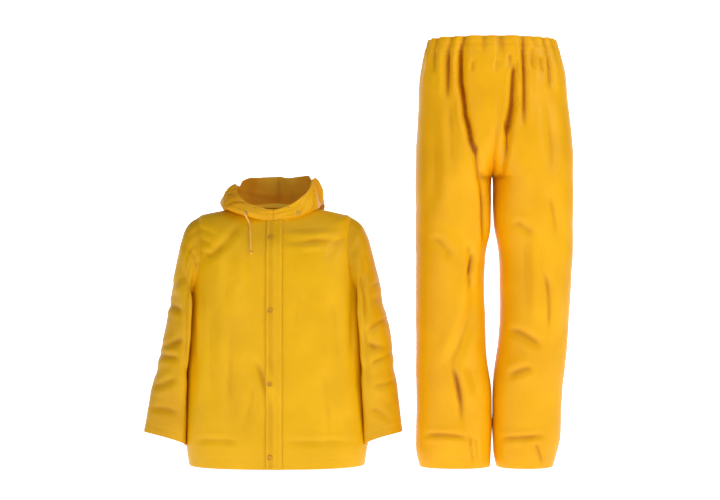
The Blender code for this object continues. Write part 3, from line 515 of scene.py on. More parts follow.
# %% Surface of the hood
def hood_plain(angle, level):
    """From the neck seam, out and up by the table's amounts, which run smoothly round the hood."""
    base = jacket(angle, np.full(np.shape(angle), NECK_ALONG))
    around = np.abs(wrapped(angle))
    names = ("front", "near", "side", "corner", "back")
    row = row_at(HOOD, level)
    out, up = (curve(around, HOOD_ANGLES, np.stack([row[name + way] for name in names]), flat_ends=True)
               for way in ("_out", "_up"))
    slump = smoothstep(-np.sin(angle))
    out = out + HOOD_SLUMP_OUT * slump * np.sin(np.pi * np.clip(level, 0, 1) ** HOOD_SLUMP_BEND)
    up = up - HOOD_SLUMP_DOWN * slump * level**2
    direction = np.stack([np.sin(angle), -np.cos(angle), 0 * angle], axis=-1)
    return base + direction * out[..., None] + np.array([0, 0, 1]) * up[..., None]


def hood_relief(angle, level):
    """Creases of the pushed-back hood, its crown seam, and the puckered tunnel along its edge."""
    p, q = wrapped(angle) * HOOD_ROUND, level * HOOD_TALL
    rows = [(a * HOOD_ROUND, l0 * HOOD_TALL, b * HOOD_ROUND, l1 * HOOD_TALL, *rest)
            for a, l0, b, l1, *rest in HOOD_CREASES]
    crown = (np.pi - np.abs(wrapped(angle))) * HOOD_ROUND
    depth = creases(p, q, rows) + SEAM_DEPTH * hollow(crown, SEAM_WIDTH) + uneven(p * 1.7, q * 1.7)
    beyond = (level - HOOD_TUNNEL) * HOOD_TALL
    depth += 0.0008 * hollow(beyond, 0.0025) + 0.0012 * puckers(p * 0.55) * smoothstep(beyond / 0.01 + 1)
    return depth * smoothstep(level / 0.08)


hood = folded(hood_plain, hood_relief)
print("hood:", len(HOOD_CREASES), "creases")

# %% [markdown]
# ## Trousers
# Above the crotch the section is one squared ellipse. Further down each leg's own round form comes out of it.
# The elastic gathers the waist into narrow troughs, and two long folds run from them to the crotch.

# %% Trousers
TROUSERS = table(
    "down right_out left_out right_in left_in front back square",
    (0, 167, 166, 0, 0, 112, 112, 2.2),
    (40, 178, 179, 0, 0, 116, 120, 2.2),
    (90, 187, 190, 0, 0, 121, 130, 2.2),
    (170, 191, 198, 0, 0, 124, 138, 2.2),
    (240, 195, 206, 0, 0, 124, 140, 2.2),
    (290, 198, 210, 0, 0, 122, 138, 2.2),
    (355, 198, 210, 0.6, 0.6, 118, 130, 2.2),
    (400, 198, 210, 2, 1.5, 112, 120, 2.2),
    (470, 198, 210, 5, 4, 106, 110, 2.2),
    (560, 198, 209, 17, 18, 102, 103, 2.2),
    (660, 198, 203, 20.8, 20.8, 98, 97, 2.2),
    (760, 197, 196, 18, 18.5, 94, 92, 2.2),
    (850, 197, 190, 11, 6, 90, 88, 2.2),
    (900, 197, 183, 3, 2, 87, 85, 2.2),
    (970, 196, 179, 1.5, 1.5, 84, 82, 2.2),
    (1040, 198, 175, 1.5, 1.5, 79, 77, 2.2),
    (1075, 196, 167, 3, 4, 76, 74, 2.2),
    (1106, 188, 158, 5, 11, 73, 71, 2.2),
)
RISE_START, CROTCH_DOWN = 0.200, 0.355
LEG_FORM_START, LEG_FORM_END, LEAST_LEG_FORM = 0.140, 0.450, 0.02
LEG_HEM = 0.030
GATHERS = table(
    "angle depth reach",
    (-174, 7, 110), (-158, 6, 70), (-143, 7.4, 130), (-126, 5.8, 60),
    (-110, 6.6, 90), (-95, 5.6, 70), (-80, 6, 80), (-62, 6.4, 70),
    (-40, 7.4, 110), (-27, 8.6, 160), (-9, 5.6, 55), (6, 6, 60),
    (25, 8.6, 150), (36, 6, 75), (49, 6.8, 100), (63, 5.8, 65),
    (78, 6.4, 85), (94, 5.6, 70), (111, 7, 120), (127, 5.8, 60),
    (141, 7, 100), (159, 6.2, 80),
)
GATHER_WIDTH = np.radians(4.4)
LONG_FOLDS = table(
    "down right_x left_x right_depth left_depth",
    (0, -90.5, 53.5, 0, 0),
    (62, -89.2, 50.4, 4, 3),
    (122, -87, 47.8, 8, 5),
    (180, -76.3, 41.5, 9, 7),
    (248, -62.7, 30.8, 9, 8),
    (307, -46.5, 21.5, 6, 4.2),
    (360, -35.5, 17.5, 3.6, 1.8),
    (422, -29.5, 15, 0, 0),
)
LONG_FOLD_WIDTH = 0.013
LEG_FOLDS = table(
    "place down wide tall depth leg side",
    (0.62, 700, 0.14, 100, 4.5, -1, -1),
    (0.35, 860, 0.16, 45, 5, -1, -1),
    (0.55, 960, 0.14, 60, 4, -1, -1),
    (0.7, 780, 0.13, 110, 5, 1, -1),
    (0.62, 930, 0.15, 50, 4.5, 1, -1),
    (0.4, 560, 0.15, 90, 4, 1, -1),
    (0.55, 480, 0.16, 50, 5, -1, 1),
    (0.45, 640, 0.16, 60, 5, -1, 1),
    (0.5, 880, 0.18, 60, 4.5, -1, 1),
    (0.5, 500, 0.16, 50, 5, 1, 1),
    (0.55, 680, 0.16, 70, 5, 1, 1),
    (0.45, 900, 0.18, 60, 4.5, 1, 1),
)

# %% Creases of the trousers, with x from their own middle
# The first lines follow the long folds and sharpen them.
TROUSER_FRONT_CREASES = millimetres(
    (-86, 440, -84, 338, 0, 7, 4.2),
    (-83, 345, -73, 255, 2, 7.5, 5),
    (-74, 262, -56, 185, 2, 8, 5),
    (-58, 194, -27, 80, 2, 8.5, 3.6),
    (81, 440, 83, 250, 2, 7, 5),
    (60, 400, 52, 280, -2, 7.5, 4),
    (53, 290, 34, 160, -2, 8.5, 5),
    (36, 175, 22, 95, -1, 8.5, 2),
    (-120, 430, -117, 312, 2, 9, 4),
    (-153, 426, -152, 372, 0, 8, 3),
    (47, 418, 44, 378, 0, 6.5, 3.2),
    (13, 400, 11, 372, 0, 5.5, 2.2),
    (-50, 400, -53, 372, 0, 5.5, 2.2),
    (104, 440, 107, 383, 0, 7, 3),
    (128, 410, 133, 372, 0, 6, 3),
    (146, 404, 152, 335, 2, 8, 3.2),
    (143, -160, 150, -294, 4, 12, 4.2),
    (104, -68, 108, -276, 3, 12, -2.6),
    (-60, -80, -57, -198, 3, 9, 3.6),
    (-46, -100, -62, -158, 2, 6, 3),
    (-39, -190, -110, -393, 10, 18, 4.6),
    (-83, -395, -60, -490, 3, 12, -3),
    (-98, -405, -78, -536, 4, 9, 3.2),
    (-57, -575, -50, -640, 1, 5.5, 3),
    (-42, -580, -38, -632, 1, 5, 2.8),
    (-170, -574, -70, -580, 2, 7, 2.2),
    (30, -582, 130, -576, -2, 7, 2.2),
    (115, -598, 130, -645, 1, 6, 2.6),
    (-26, 75, -20, -94, 1, 6.5, 4.5),
    (60, -20, 100, -52, 3, 12, 2.6),
    (50, -300, 122, -340, 4, 12, 3),
    (45, -420, 102, -400, 3, 11, 2.6),
    (150, 50, 170, -60, 3, 14, 3.2),
    (-148, 244, -152, 36, 4, 16, 2.6),
    (-106, 296, -104, 114, -4, 14, 2.2),
    (140, 296, 160, 114, 4, 14, 2.8),
    (-150, -60, -110, -110, 4, 13, 2.6),
)
TROUSER_BACK_CREASES = millimetres(
    (-62, 300, -28, 100, 4, 14, 4.4),
    (66, 310, 30, 110, -4, 14, 4.4),
    (-150, 60, -50, 30, 4, 14, 3.2),
    (160, 50, 52, 20, -4, 14, 3.2),
    (-150, -120, -52, -150, 4, 12, 4.2),
    (-140, -192, -60, -170, -3, 10, 3.2),
    (150, -140, 52, -110, 4, 12, 4.2),
    (140, -200, 52, -212, 3, 10, 3.2),
    (-112, -280, -90, -550, 5, 16, 3.4),
    (90, -300, 112, -560, -5, 16, 3.4),
    (-150, -500, -60, -530, 3, 10, 2.8),
    (130, -480, 42, -520, 3, 10, 2.8),
)

print("trouser creases:", len(TROUSER_FRONT_CREASES), "in front,", len(TROUSER_BACK_CREASES), "behind")

# %% Surfaces of the trousers
def trouser_plain(leg, side):
    """Front (side -1) or back (side 1) of one leg: place 0 is the middle or inner seam, 1 the outer seam."""
    def surface(place, down):
        row = row_at(TROUSERS, down)
        out = row["left_out"] if leg > 0 else row["right_out"]
        inside = row["left_in"] if leg > 0 else row["right_in"]
        depth = row["front"] if side < 0 else row["back"]
        formed = smoothstep((down - LEG_FORM_START) / (LEG_FORM_END - LEG_FORM_START))
        formed = np.maximum(formed, LEAST_LEG_FORM)
        sunk = np.clip((down - RISE_START) / (CROTCH_DOWN - RISE_START), 0, 1)
        parted = 1 - np.sqrt(1 - sunk**2)
        middle = formed * (out + inside) / 2
        inner_turn = -QUARTER * formed
        turn = inner_turn + place * (QUARTER - inner_turn)
        across = rounded(np.sin(turn), row["square"])
        inner_share = across / np.minimum(rounded(np.sin(inner_turn), row["square"]), -1e-6)
        x = np.where(turn > 0, middle + (out - middle) * across, middle - (middle - inside) * inner_share)
        height = rounded(np.cos(turn), row["square"])
        inner_drop = (1 - height) / np.maximum(1 - rounded(np.cos(inner_turn), row["square"]), 1e-6)
        y = depth * np.where(turn > 0, height, 1 - parted * inner_drop)
        return np.stack([TROUSERS_X + leg * x, side * y, WAIST_TOP_Z - down + 0 * x], axis=-1)
    return surface


def trouser_surface(leg, side):
    """The plain leg with gathers, long folds, soft folds, creases, seams and the hem."""
    plain = trouser_plain(leg, side)

    def relief(place, down):
        depth = np.zeros(np.broadcast(place, down).shape)
        angle = leg * (place * QUARTER if side < 0 else np.pi - place * QUARTER)
        for middle, deep, reach in zip(*GATHERS.values()):
            depth += deep * hollow(wrapped(angle - np.radians(middle)), GATHER_WIDTH) * hollow(down, reach)
        x, y, z = np.moveaxis(plain(place, down), -1, 0)
        x = x - TROUSERS_X
        if side < 0:
            row = row_at(LONG_FOLDS, down)
            for name in ("right", "left"):
                deep = np.where((down < 0) | (down > LONG_FOLDS["down"][-1]), 0, row[name + "_depth"])
                depth += deep * hollow(x - row[name + "_x"], LONG_FOLD_WIDTH)
        for middle, level, wide, tall, deep, on_leg, on_side in zip(*LEG_FOLDS.values()):
            if on_leg == leg and on_side == side:
                depth += deep * hollow(place - middle, wide) * hollow(down - level, tall)
        if side < 0:
            across, up = as_seen(x + TROUSERS_X, y, z)
            own = TROUSER_DEPTH * creases(across - TROUSERS_X, up, TROUSER_FRONT_CREASES)
        else:
            own = creases(x, z, TROUSER_BACK_CREASES)
        depth += own * smoothstep((1 - place) / 0.12)
        run = angle * 0.16
        depth += 0.0011 * puckers(run * 0.33) * np.exp(-np.clip(down, 0, 9) / 0.05)
        depth += stitched(down - TROUSER_LENGTH + LEG_HEM, run) + uneven(x * 1.1, z)
        beside_seam = (1 - place) * RADIUS_AT_SEAM
        seam = SEAM_DEPTH * hollow(beside_seam, SEAM_WIDTH)
        return depth + seam + 0.0004 * puckers(down) * hollow(beside_seam, 0.01)

    return folded(plain, relief, side=leg * side)


legs = {(leg, side): trouser_surface(leg, side) for leg in (1, -1) for side in (-1, 1)}
print("trousers:", TROUSER_LENGTH, "m long,", round(TROUSERS["left_out"].max() + TROUSERS["right_out"].max(), 3),
      "m across both legs")

# %% [markdown]
# ## Materials
# The cloth is polyester with a PVC coating that was spread on and pressed smooth. The eye sees a saturated
# yellow, a broad soft sheen, a trace of the weave below, and slight unevenness where the coating was creased.
# In a fold's valley the colour is painted deeper as shade, so each point of a panel carries its depth below the cloth
# around it.
# The inner side shows the bare polyester: paler and dull. Inside the hood it is painted paler and brighter, as the
# light that reaches in there.

# %% Colour and node helpers
def linear(code):
    """sRGB hex colour to the linear values that Blender's shaders use."""
    parts = np.array([int(code[k:k + 2], 16) for k in (1, 3, 5)]) / 255
    values = np.where(parts <= 0.04045, parts / 12.92, ((parts + 0.055) / 1.055) ** 2.4)
    return (*values.tolist(), 1.0)


def socket(name):
    """Name of a socket from a Python name, such as Sheen Weight from sheen_weight."""
    return name.replace("_", " ").title().replace("Ior", "IOR")


def node(material, kind, links=(), **settings):
    """Adds one node, sets its sockets and properties, and links (socket name, output) pairs into it."""
    made = material.node_tree.nodes.new(kind)
    for name, value in settings.items():
        key = socket(name)
        if key in made.inputs:
            made.inputs[key].default_value = value
        else:
            setattr(made, name, value)
    for name, output in links:
        material.node_tree.links.new(made.inputs[name], output)
    return made


def start(name, roughness, metallic=0.0, **sockets):
    """New material with its Principled shader, whose constants sit on the shader's own sockets."""
    material = bpy.data.materials.new(name)
    material.use_nodes = True
    shader = material.node_tree.nodes["Principled BSDF"]
    shader.inputs["Roughness"].default_value = roughness
    shader.inputs["Metallic"].default_value = metallic
    for key, value in sockets.items():
        shader.inputs[socket(key)].default_value = value
    return material, shader


def blend(material, share, *colours):
    """Output of a colour mix. Each of the two colours is a hex code or another node's output."""
    mix = node(material, "ShaderNodeMix", [("Factor", share)], data_type="RGBA")
    for entry, colour in zip((6, 7), colours):
        if isinstance(colour, str):
            mix.inputs[entry].default_value = linear(colour)
        else:
            material.node_tree.links.new(mix.inputs[entry], colour)
    return mix.outputs[2]


# %% Coated cloth
WEAVE = 0.0024              # metres between threads; the real cloth has 0.5 mm, too fine to show
MOTTLE = 0.11               # size of the slow changes in colour
CREASE_GRAIN = 0.018        # size of the small dents that a packed coated cloth keeps
PAINTED_FOLD_SHADE = "#A85C00"          # painted shade in fold valleys: deep orange, as light that bounces between a fold's walls takes up the cloth's colour twice


def coated_cloth(name, light, deep, roughness, weave_depth=0.00004, dent_depth=0.0005):
    """PVC-coated polyester: mottled colour, painted shade in the folds, thread pattern and dents as bump."""
    material, shader = start(name, roughness, ior=1.5, specular_ior_level=0.22)
    place = node(material, "ShaderNodeTexCoord").outputs
    mottle = node(material, "ShaderNodeTexNoise", [("Vector", place["Object"])], scale=1 / MOTTLE, detail=3.0)
    tone = node(material, "ShaderNodeMapRange", [("Value", mottle.outputs[0])], from_min=0.32, from_max=0.68)
    colour = blend(material, tone.outputs[0], deep, light)
    # painted shade: the fold attribute mixes the colour towards the dark valley colour in folds
    fold = node(material, "ShaderNodeAttribute", attribute_name="fold").outputs["Fac"]
    material.node_tree.links.new(shader.inputs["Base Color"], blend(material, fold, colour, PAINTED_FOLD_SHADE))
    dents = node(material, "ShaderNodeTexNoise", [("Vector", place["Object"])], scale=1 / CREASE_GRAIN, detail=4.0)
    rough = node(material, "ShaderNodeMapRange", [("Value", dents.outputs[0])],
                 to_min=roughness - 0.07, to_max=roughness + 0.07)
    material.node_tree.links.new(shader.inputs["Roughness"], rough.outputs[0])
    bands = 2 * np.pi / 20 / WEAVE
    warp = node(material, "ShaderNodeTexWave", [("Vector", place["UV"])], bands_direction="X", scale=bands)
    weft = node(material, "ShaderNodeTexWave", [("Vector", place["UV"])], bands_direction="Y", scale=bands)
    threads = node(material, "ShaderNodeMath", [(0, warp.outputs[1]), (1, weft.outputs[1])], operation="MULTIPLY")
    fine = node(material, "ShaderNodeBump", [("Height", threads.outputs[0])], distance=weave_depth)
    broad = node(material, "ShaderNodeBump", [("Height", dents.outputs[0]), ("Normal", fine.outputs[0])],
                 distance=dent_depth)
    material.node_tree.links.new(shader.inputs["Normal"], broad.outputs[0])
    return material


jacket_coating = coated_cloth("coated_polyester_jacket", "#F2B904", "#E6AE02", 0.44)
# painted shade: the sleeves take a darker copy of the jacket's yellow, for the shade on the hanging sleeves
sleeve_coating_shaded = coated_cloth("coated_polyester_sleeves_shaded", "#E6AE02", "#D89F00", 0.46)
hood_coating = coated_cloth("coated_polyester_hood", "#F4B80C", "#E29C06", 0.44)
trouser_coating = coated_cloth("coated_polyester_trousers", "#F8B606", "#EEAA04", 0.42)
bare_side = coated_cloth("bare_polyester_inside", "#D89A2C", "#C98A20", 0.75, 0.00012, 0.0002)
# painted light: the hood's inner side is a paler, brighter copy of the bare inside, for the light falling into the
# hood
lit_hood_inside = coated_cloth("bare_polyester_inside_painted_light_in_hood", "#FFD040", "#FFB41C", 0.7, 0.00012, 0.0004)

# %% Thread, cord and metal
thread, _ = start("spun_polyester_thread", 0.7, base_color=linear("#F4C64A"))

cord_braid, cord_shader = start("braided_polyester_cord", 0.75)
BRAID = 0.0045              # metres between the strands that cross on the cord's face
place = node(cord_braid, "ShaderNodeTexCoord").outputs
strands = []
for slope in (0.9, -0.9):
    turned_to = node(cord_braid, "ShaderNodeMapping", [("Vector", place["Object"])], rotation=(0, slope, 0))
    strands.append(node(cord_braid, "ShaderNodeTexWave", [("Vector", turned_to.outputs[0])],
                        bands_direction="Z", scale=2 * np.pi / 20 / BRAID))
crossed = node(cord_braid, "ShaderNodeMath", [(0, strands[0].outputs[1]), (1, strands[1].outputs[1])],
               operation="MAXIMUM")
# painted shade in the grooves between strands and painted light on their crowns, from the strands' height
braid_tone_groove_shade = blend(cord_braid, crossed.outputs[0], "#D89A24", "#FFD06A")
braid_bump = node(cord_braid, "ShaderNodeBump", [("Height", crossed.outputs[0])], distance=0.0004)
cord_braid.node_tree.links.new(cord_shader.inputs["Base Color"], braid_tone_groove_shade)
cord_braid.node_tree.links.new(cord_shader.inputs["Normal"], braid_bump.outputs[0])


def stamped_metal(name, code, metallic, roughness):
    """Stamped and finished metal: fine speckle in the roughness from handling."""
    material, shader = start(name, roughness, metallic, base_color=linear(code))
    place = node(material, "ShaderNodeTexCoord").outputs
    speckle = node(material, "ShaderNodeTexNoise", [("Vector", place["Object"])], scale=900.0, detail=2.0)
    spread = node(material, "ShaderNodeMapRange", [("Value", speckle.outputs[0])],
                  to_min=roughness - 0.08, to_max=roughness + 0.1)
    material.node_tree.links.new(shader.inputs["Roughness"], spread.outputs[0])
    return material


stud_lacquer = stamped_metal("lacquered_steel_stud", "#C9900F", 0.25, 0.34)
eyelet_brass = stamped_metal("stamped_brass_eyelet", "#CDAE62", 1.0, 0.28)
print("materials:", [material.name for material in bpy.data.materials if material.node_tree])

# %% [markdown]
# ## Making a panel
# A panel is a grid of points on its surface. Its inner side is the same grid moved in by the cloth's thickness,
# and strips close the edges. Its UV map holds the distances along the cloth in metres, for the weave.

# %% Mesh objects
def add_piece(name, points, faces, *coats, sharp=None):
    """Smooth mesh object with these materials. Edges that turn by more than the sharp angle stay sharp."""
    mesh = bpy.data.meshes.new(name)
    mesh.from_pydata(np.reshape(points, (-1, 3)).tolist(), [], np.asarray(faces).tolist())
    for coat in coats:
        mesh.materials.append(coat)
    mesh.shade_smooth()
    if sharp:
        mesh.set_sharp_from_angle(angle=np.radians(sharp))
    piece = bpy.data.objects.new(name, mesh)
    bpy.context.collection.objects.link(piece)
    return piece


def ring_faces(rows, columns):
    """Quads of a grid of points that closes on itself both ways."""
    number = np.arange(rows * columns).reshape(rows, columns)
    across, onwards = np.roll(number, -1, axis=0), np.roll(number, -1, axis=1)
    return np.stack([number, onwards, np.roll(across, -1, axis=1), across], axis=-1).reshape(-1, 4)


def declare(piece, slot, *nodes):
    """Tells the frame that the piece rides the root body and stands for these nodes, whose CAD parts it hides. The
    slot is not used.
    """
    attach(piece, "root")
    if nodes:
        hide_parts(*nodes)

# %% Distances and folds of a panel
FOLD_REACH = 0.020          # metres to each side over which the cloth's own level is averaged
FOLD_START, FOLD_FULL = 0.0006, 0.0058   # depths below that level where the painted fold shade starts and is full


def along_cloth(outer, closed):
    """Distances along the rows and the columns in metres, and the unit cross product of both directions."""
    if closed:
        around = np.roll(outer, -1, axis=1) - np.roll(outer, 1, axis=1)
    else:
        around = np.gradient(outer, axis=1)
    normals = unit(np.cross(around, np.gradient(outer, axis=0)))
    spread = np.linalg.norm(np.diff(outer, axis=1), axis=2)
    drop = np.linalg.norm(np.diff(outer, axis=0), axis=2)
    s = np.concatenate([np.zeros((len(outer), 1)), np.cumsum(spread, axis=1)], axis=1)
    t = np.concatenate([np.zeros((1, outer.shape[1])), np.cumsum(drop, axis=0)])
    return s, t, normals


def fold_shade_share(outer, normals, closed):
    """From 0 to 1: how far a point lies below the average of its row or column within the reach, which sets the
    painted shade in folds.
    """
    below = np.zeros(outer.shape[:2])
    for axis in (0, 1):
        line = np.moveaxis(outer, axis, 0)
        step = np.linalg.norm(np.diff(line, axis=0), axis=2).mean()
        reach = min(max(2, round(FOLD_REACH / step)), len(line) - 2)
        if closed and axis == 1:
            before, after = line[-reach:], line[:reach]
        else:
            before, after = 2 * line[:1] - line[reach:0:-1], 2 * line[-1:] - line[-2:-reach - 2:-1]
        padded = np.concatenate([0 * line[:1], before, line, after])
        total = np.cumsum(padded, axis=0)
        level = (total[2 * reach + 1:] - total[:-2 * reach - 1]) / (2 * reach + 1)
        below = np.maximum(below, ((np.moveaxis(level, 0, axis) - outer) * normals).sum(axis=2))
    return np.clip((below - FOLD_START) / (FOLD_FULL - FOLD_START), 0, 1)

# %% Panel from a grid
def panel(name, outer, thick, outward, outside, inside, nodes, slot, closed=False):
    """Makes the wall, puts it into a mesh, and tells the frame what it stands for. outward is the sign that
    turns the grid's own normal away from the body."""
    s, t, normals = along_cloth(outer, closed)
    rows, columns = outer.shape[:2]
    number = np.arange(rows * columns).reshape(rows, columns)
    if closed:
        number = np.concatenate([number, number[:, :1]], axis=1)
    faces = np.stack([number[:-1, :-1], number[:-1, 1:], number[1:, 1:], number[1:, :-1]], axis=-1).reshape(-1, 4)
    a, b, c = (outer.reshape(-1, 3)[faces[:, k]] for k in range(3))
    sign = np.sum(np.cross(b - a, c - a) * normals.reshape(-1, 3)[faces[:, 0]])
    normals = normals * outward
    thickness = np.broadcast_to(thick, outer.shape[:2])[..., None]
    points = np.concatenate([outer.reshape(-1, 3), (outer - thickness * normals).reshape(-1, 3)])
    count = rows * columns
    if sign * outward < 0:
        faces = faces[:, ::-1]
    edges = [number[0], number[-1][::-1]]
    if not closed:
        edges += [number[::-1, 0], number[:, -1]]
    strips = []
    for edge in edges:
        strips.append(np.stack([edge[1:], edge[:-1], edge[:-1] + count, edge[1:] + count], axis=-1))
    strips = np.concatenate(strips)
    if sign * outward < 0:
        strips = strips[:, ::-1]
    quads = np.concatenate([faces, strips, faces[:, ::-1] + count])
    piece = add_piece(name, points, quads, outside, inside, sharp=50)
    mesh = piece.data
    index = np.zeros(len(quads), int)
    single = thickness.ravel()[faces].max(axis=1) < 1.5 * CLOTH    # turned cloth shows its coating inside too
    # the hood's inner faces, the tunnel's too, all take the inside colour painted lighter for the light in the hood
    index[len(faces) + len(strips):] = single | (inside is lit_hood_inside)
    mesh.polygons.foreach_set("material_index", index)
    # painted shade in folds: how deep each outer point lies, stored for the material; the inner side gets none
    fold = fold_shade_share(outer, normals, closed).ravel()
    fold = np.concatenate([fold, 0 * fold])
    mesh.attributes.new("fold", "FLOAT", "POINT").data.foreach_set("value", fold)
    uv = np.tile(np.stack([s, t], axis=-1).reshape(-1, 2), (2, 1))
    corner = np.empty(len(mesh.loops), int)
    mesh.loops.foreach_get("vertex_index", corner)
    mesh.uv_layers.new(name="cloth_metres").data.foreach_set("uv", uv[corner].ravel())
    declare(piece, slot, *nodes)
    one, two, three = (points[quads[:, k]] for k in range(3))
    volume = np.einsum("ij,ij->i", one, np.cross(two, three)).sum() / 3
    cells = outer[:-1, :-1], outer[:-1, 1:], outer[1:, :-1]
    area = np.linalg.norm(np.cross(cells[1] - cells[0], cells[2] - cells[0]), axis=-1).sum()
    print(f"{name}: {len(quads) * 2} triangles, {area:.3f} m2, {s[:, -1].max():.2f} x {t[-1].max():.2f} m,"
          f" volume {volume * 1e6:.0f} cm3")
    return piece


# %% [markdown]
# ## Jacket panels
# The rows of the fronts and the back follow the armhole step by step, so the sleeve's first ring meets the
# same points. Cloth is thicker where it is turned up at the hem.

# %% Rows of the body
ARMHOLE_STEPS = 48
FRONT_CELLS, BACK_CELLS = 64, 128
steps = np.arange(ARMHOLE_STEPS + 1)
hole = ARMPIT_ALONG + (SHOULDER_ALONG - ARMPIT_ALONG) * (1 - np.cos(np.pi * steps / ARMHOLE_STEPS)) / 2
levels = np.concatenate([np.linspace(0, ARMPIT_ALONG, 95)[:-1], hole, np.linspace(SHOULDER_ALONG, NECK_ALONG, 24)[1:]])
opening = np.zeros(len(levels))
opening[94:94 + len(hole)] = ARMHOLE_REACH * np.sin(np.pi * steps / ARMHOLE_STEPS)
hem_thick = np.where(levels < JACKET_HEM, TURNED_CLOTH, CLOTH)[:, None]
print("rows of the body:", len(levels), "of them", len(hole), "beside the armhole")

# %% Fronts and back
for name, side in (("jacket_front_left", 1), ("jacket_front_right", -1)):
    angle = side * (QUARTER - opening)[:, None] * np.linspace(0, 1, FRONT_CELLS + 1) ** 1.15
    along = np.broadcast_to(levels[:, None], angle.shape)
    piece = panel(name + "_cloth", jacket(angle, along), hem_thick, side, jacket_coating, bare_side,
                  [name], "jacket_cloth")

angle = np.array([np.linspace(QUARTER + gap, 3 * QUARTER - gap, BACK_CELLS + 1) for gap in opening])
along = np.broadcast_to(levels[:, None], angle.shape)
piece = panel("jacket_back_cloth", jacket(angle, along), hem_thick, 1, jacket_coating, bare_side,
              ["jacket_back"], "jacket_cloth")

# %% Sleeves as tubes
turn, down = np.meshgrid(np.linspace(0, 2 * np.pi, 2 * ARMHOLE_STEPS, endpoint=False),
                         np.linspace(0, SLEEVE_LENGTH, 150))
cuff_thick = np.where(down > SLEEVE_LENGTH - CUFF_HEM, TURNED_CLOTH, CLOTH)
for name, side in (("sleeve_left", 1), ("sleeve_right", -1)):
    piece = panel(name + "_cloth", sleeves[side](turn, down), cuff_thick, -side, sleeve_coating_shaded, bare_side,
                  [name], "sleeve_cloth_left" if side > 0 else "sleeve_cloth_right", closed=True)

# %% Hood halves
FRONT_GAP = 0.004           # radians between the middle and each half's front edge
crown = np.concatenate([[FRONT_GAP], QUARTER * np.linspace(0, 1, 61)[2:] ** 1.15, np.linspace(QUARTER, np.pi, 65)[1:]])
for name, side in (("hood_left", 1), ("hood_right", -1)):
    angle, level = np.meshgrid(side * crown, np.linspace(0, 1, 96))
    tunnel_thick = np.where(level > HOOD_TUNNEL, 2 * TURNED_CLOTH, CLOTH)
    piece = panel(name + "_cloth", hood(angle, level), tunnel_thick, side, hood_coating, lit_hood_inside,
                  [name], "hood_cloth")

# %% [markdown]
# ## Storm flap
# A strip 39 mm wide covers the front opening. It is sewn along the wearer's left and closes to the right, so
# that edge lifts a little and the middle sinks between the edges, which reads as a darker line in daylight.

# %% Storm flap
FLAP_RIGHT_X, FLAP_LEFT_X, FLAP_THICK = -0.015, 0.024, 0.0012
flap_across = np.linspace(FLAP_RIGHT_X, FLAP_LEFT_X, 17)


def flap_angle(x, along):
    """Angle round the body at which the front has this x: the inverse of the squared ellipse."""
    row = row_at(JACKET, along)
    width = np.where(x > 0, row["left"], row["right"])
    return np.sign(x) * np.arcsin((np.abs(x) / width) ** (row["square"] / 2))


def flap(x, along):
    """The front's own surface, moved out: raised at the sewn edge, sunk in the middle, lifted at the free edge."""
    angle = flap_angle(x, along)
    lift = 0.0028 + 0.0024 * hollow(x - FLAP_LEFT_X + 0.005, 0.007) - 0.0012 * hollow(x + 0.004, 0.008)
    lift = lift + 0.0016 * hollow(x - FLAP_RIGHT_X, 0.003) + 0.0003 * np.sin(along * 37 + 30 * x)
    lift = lift - stitched(x - FLAP_LEFT_X + 0.004, along)
    return jacket(angle, along) + facing(jacket, angle, along) * lift[..., None]


across, along = np.meshgrid(flap_across, levels)
piece = panel("storm_flap_cloth", flap(across, along), FLAP_THICK, 1, jacket_coating, bare_side,
              ["storm_flap"], "flap_cloth")

# %% [markdown]
# ## Trouser panels
# Four long panels meet at the outer seams, the inner seams and the rise. The waist casing is a tube of the same
# cloth folded over the elastic, so its wall is thick and its troughs are the gathers of the cloth below.

# %% Legs
PLACE_CELLS = 72
leg_levels = np.concatenate([np.linspace(CASING_HEIGHT, 0.17, 40)[:-1], np.linspace(0.17, TROUSER_LENGTH, 190)])
leg_thick = np.where(leg_levels > TROUSER_LENGTH - LEG_HEM, TURNED_CLOTH, CLOTH)[:, None]
place_of, down = np.meshgrid(np.linspace(0, 1, PLACE_CELLS + 1), leg_levels)
for (leg, side), surface in legs.items():
    name = f"trouser_{'front' if side < 0 else 'back'}_{'left' if leg > 0 else 'right'}"
    piece = panel(name + "_cloth", surface(place_of, down), leg_thick, leg * side, trouser_coating, bare_side,
                  [name], "trouser_cloth")

# %% Waist casing
CASING_THICK, ELASTIC_SWELL, ELASTIC_PITCH = 0.0024, 0.0010, 0.0185    # the elastic shows as two soft rolls
casing_place = np.linspace(0, 1, PLACE_CELLS + 1)
casing_down = np.linspace(0, CASING_HEIGHT, 15)
quarters = []
for leg, side, places in ((1, -1, casing_place), (1, 1, casing_place[::-1]), (-1, 1, casing_place),
                          (-1, -1, casing_place[::-1])):
    p, d = np.meshgrid(places, casing_down)
    away = facing(legs[leg, side], p, d) * leg * side
    swell = ELASTIC_SWELL * np.abs(np.sin(np.pi * (d - 0.002) / ELASTIC_PITCH)) - 0.0003
    quarters.append((legs[leg, side](p, d) + away * swell[..., None])[:, :-1])
ring = np.concatenate(quarters, axis=1)
piece = panel("waist_casing_cloth", ring, CASING_THICK, -1, trouser_coating, bare_side,
              ["waist_casing"], "casing_cloth", closed=True)

# %% [markdown]
# ## Stitching
# Rows of lockstitch show at the hems, cuffs, tunnel, flap, armholes and waist. Each stitch is a small capsule
# of thread, laid along its row at an even pitch. The thread is drawn thicker and longer than the real one.

# %% Stitches along rows
STITCH_PITCH, STITCH_LENGTH, STITCH_RADIUS = 0.0042, 0.0031, 0.00032


def row_of(surface, outward, u, v):
    """Points on the surface along the row, and the way it faces there."""
    u, v = np.broadcast_arrays(np.asarray(u, float), np.asarray(v, float))
    return surface(u, v), facing(surface, u, v) * outward


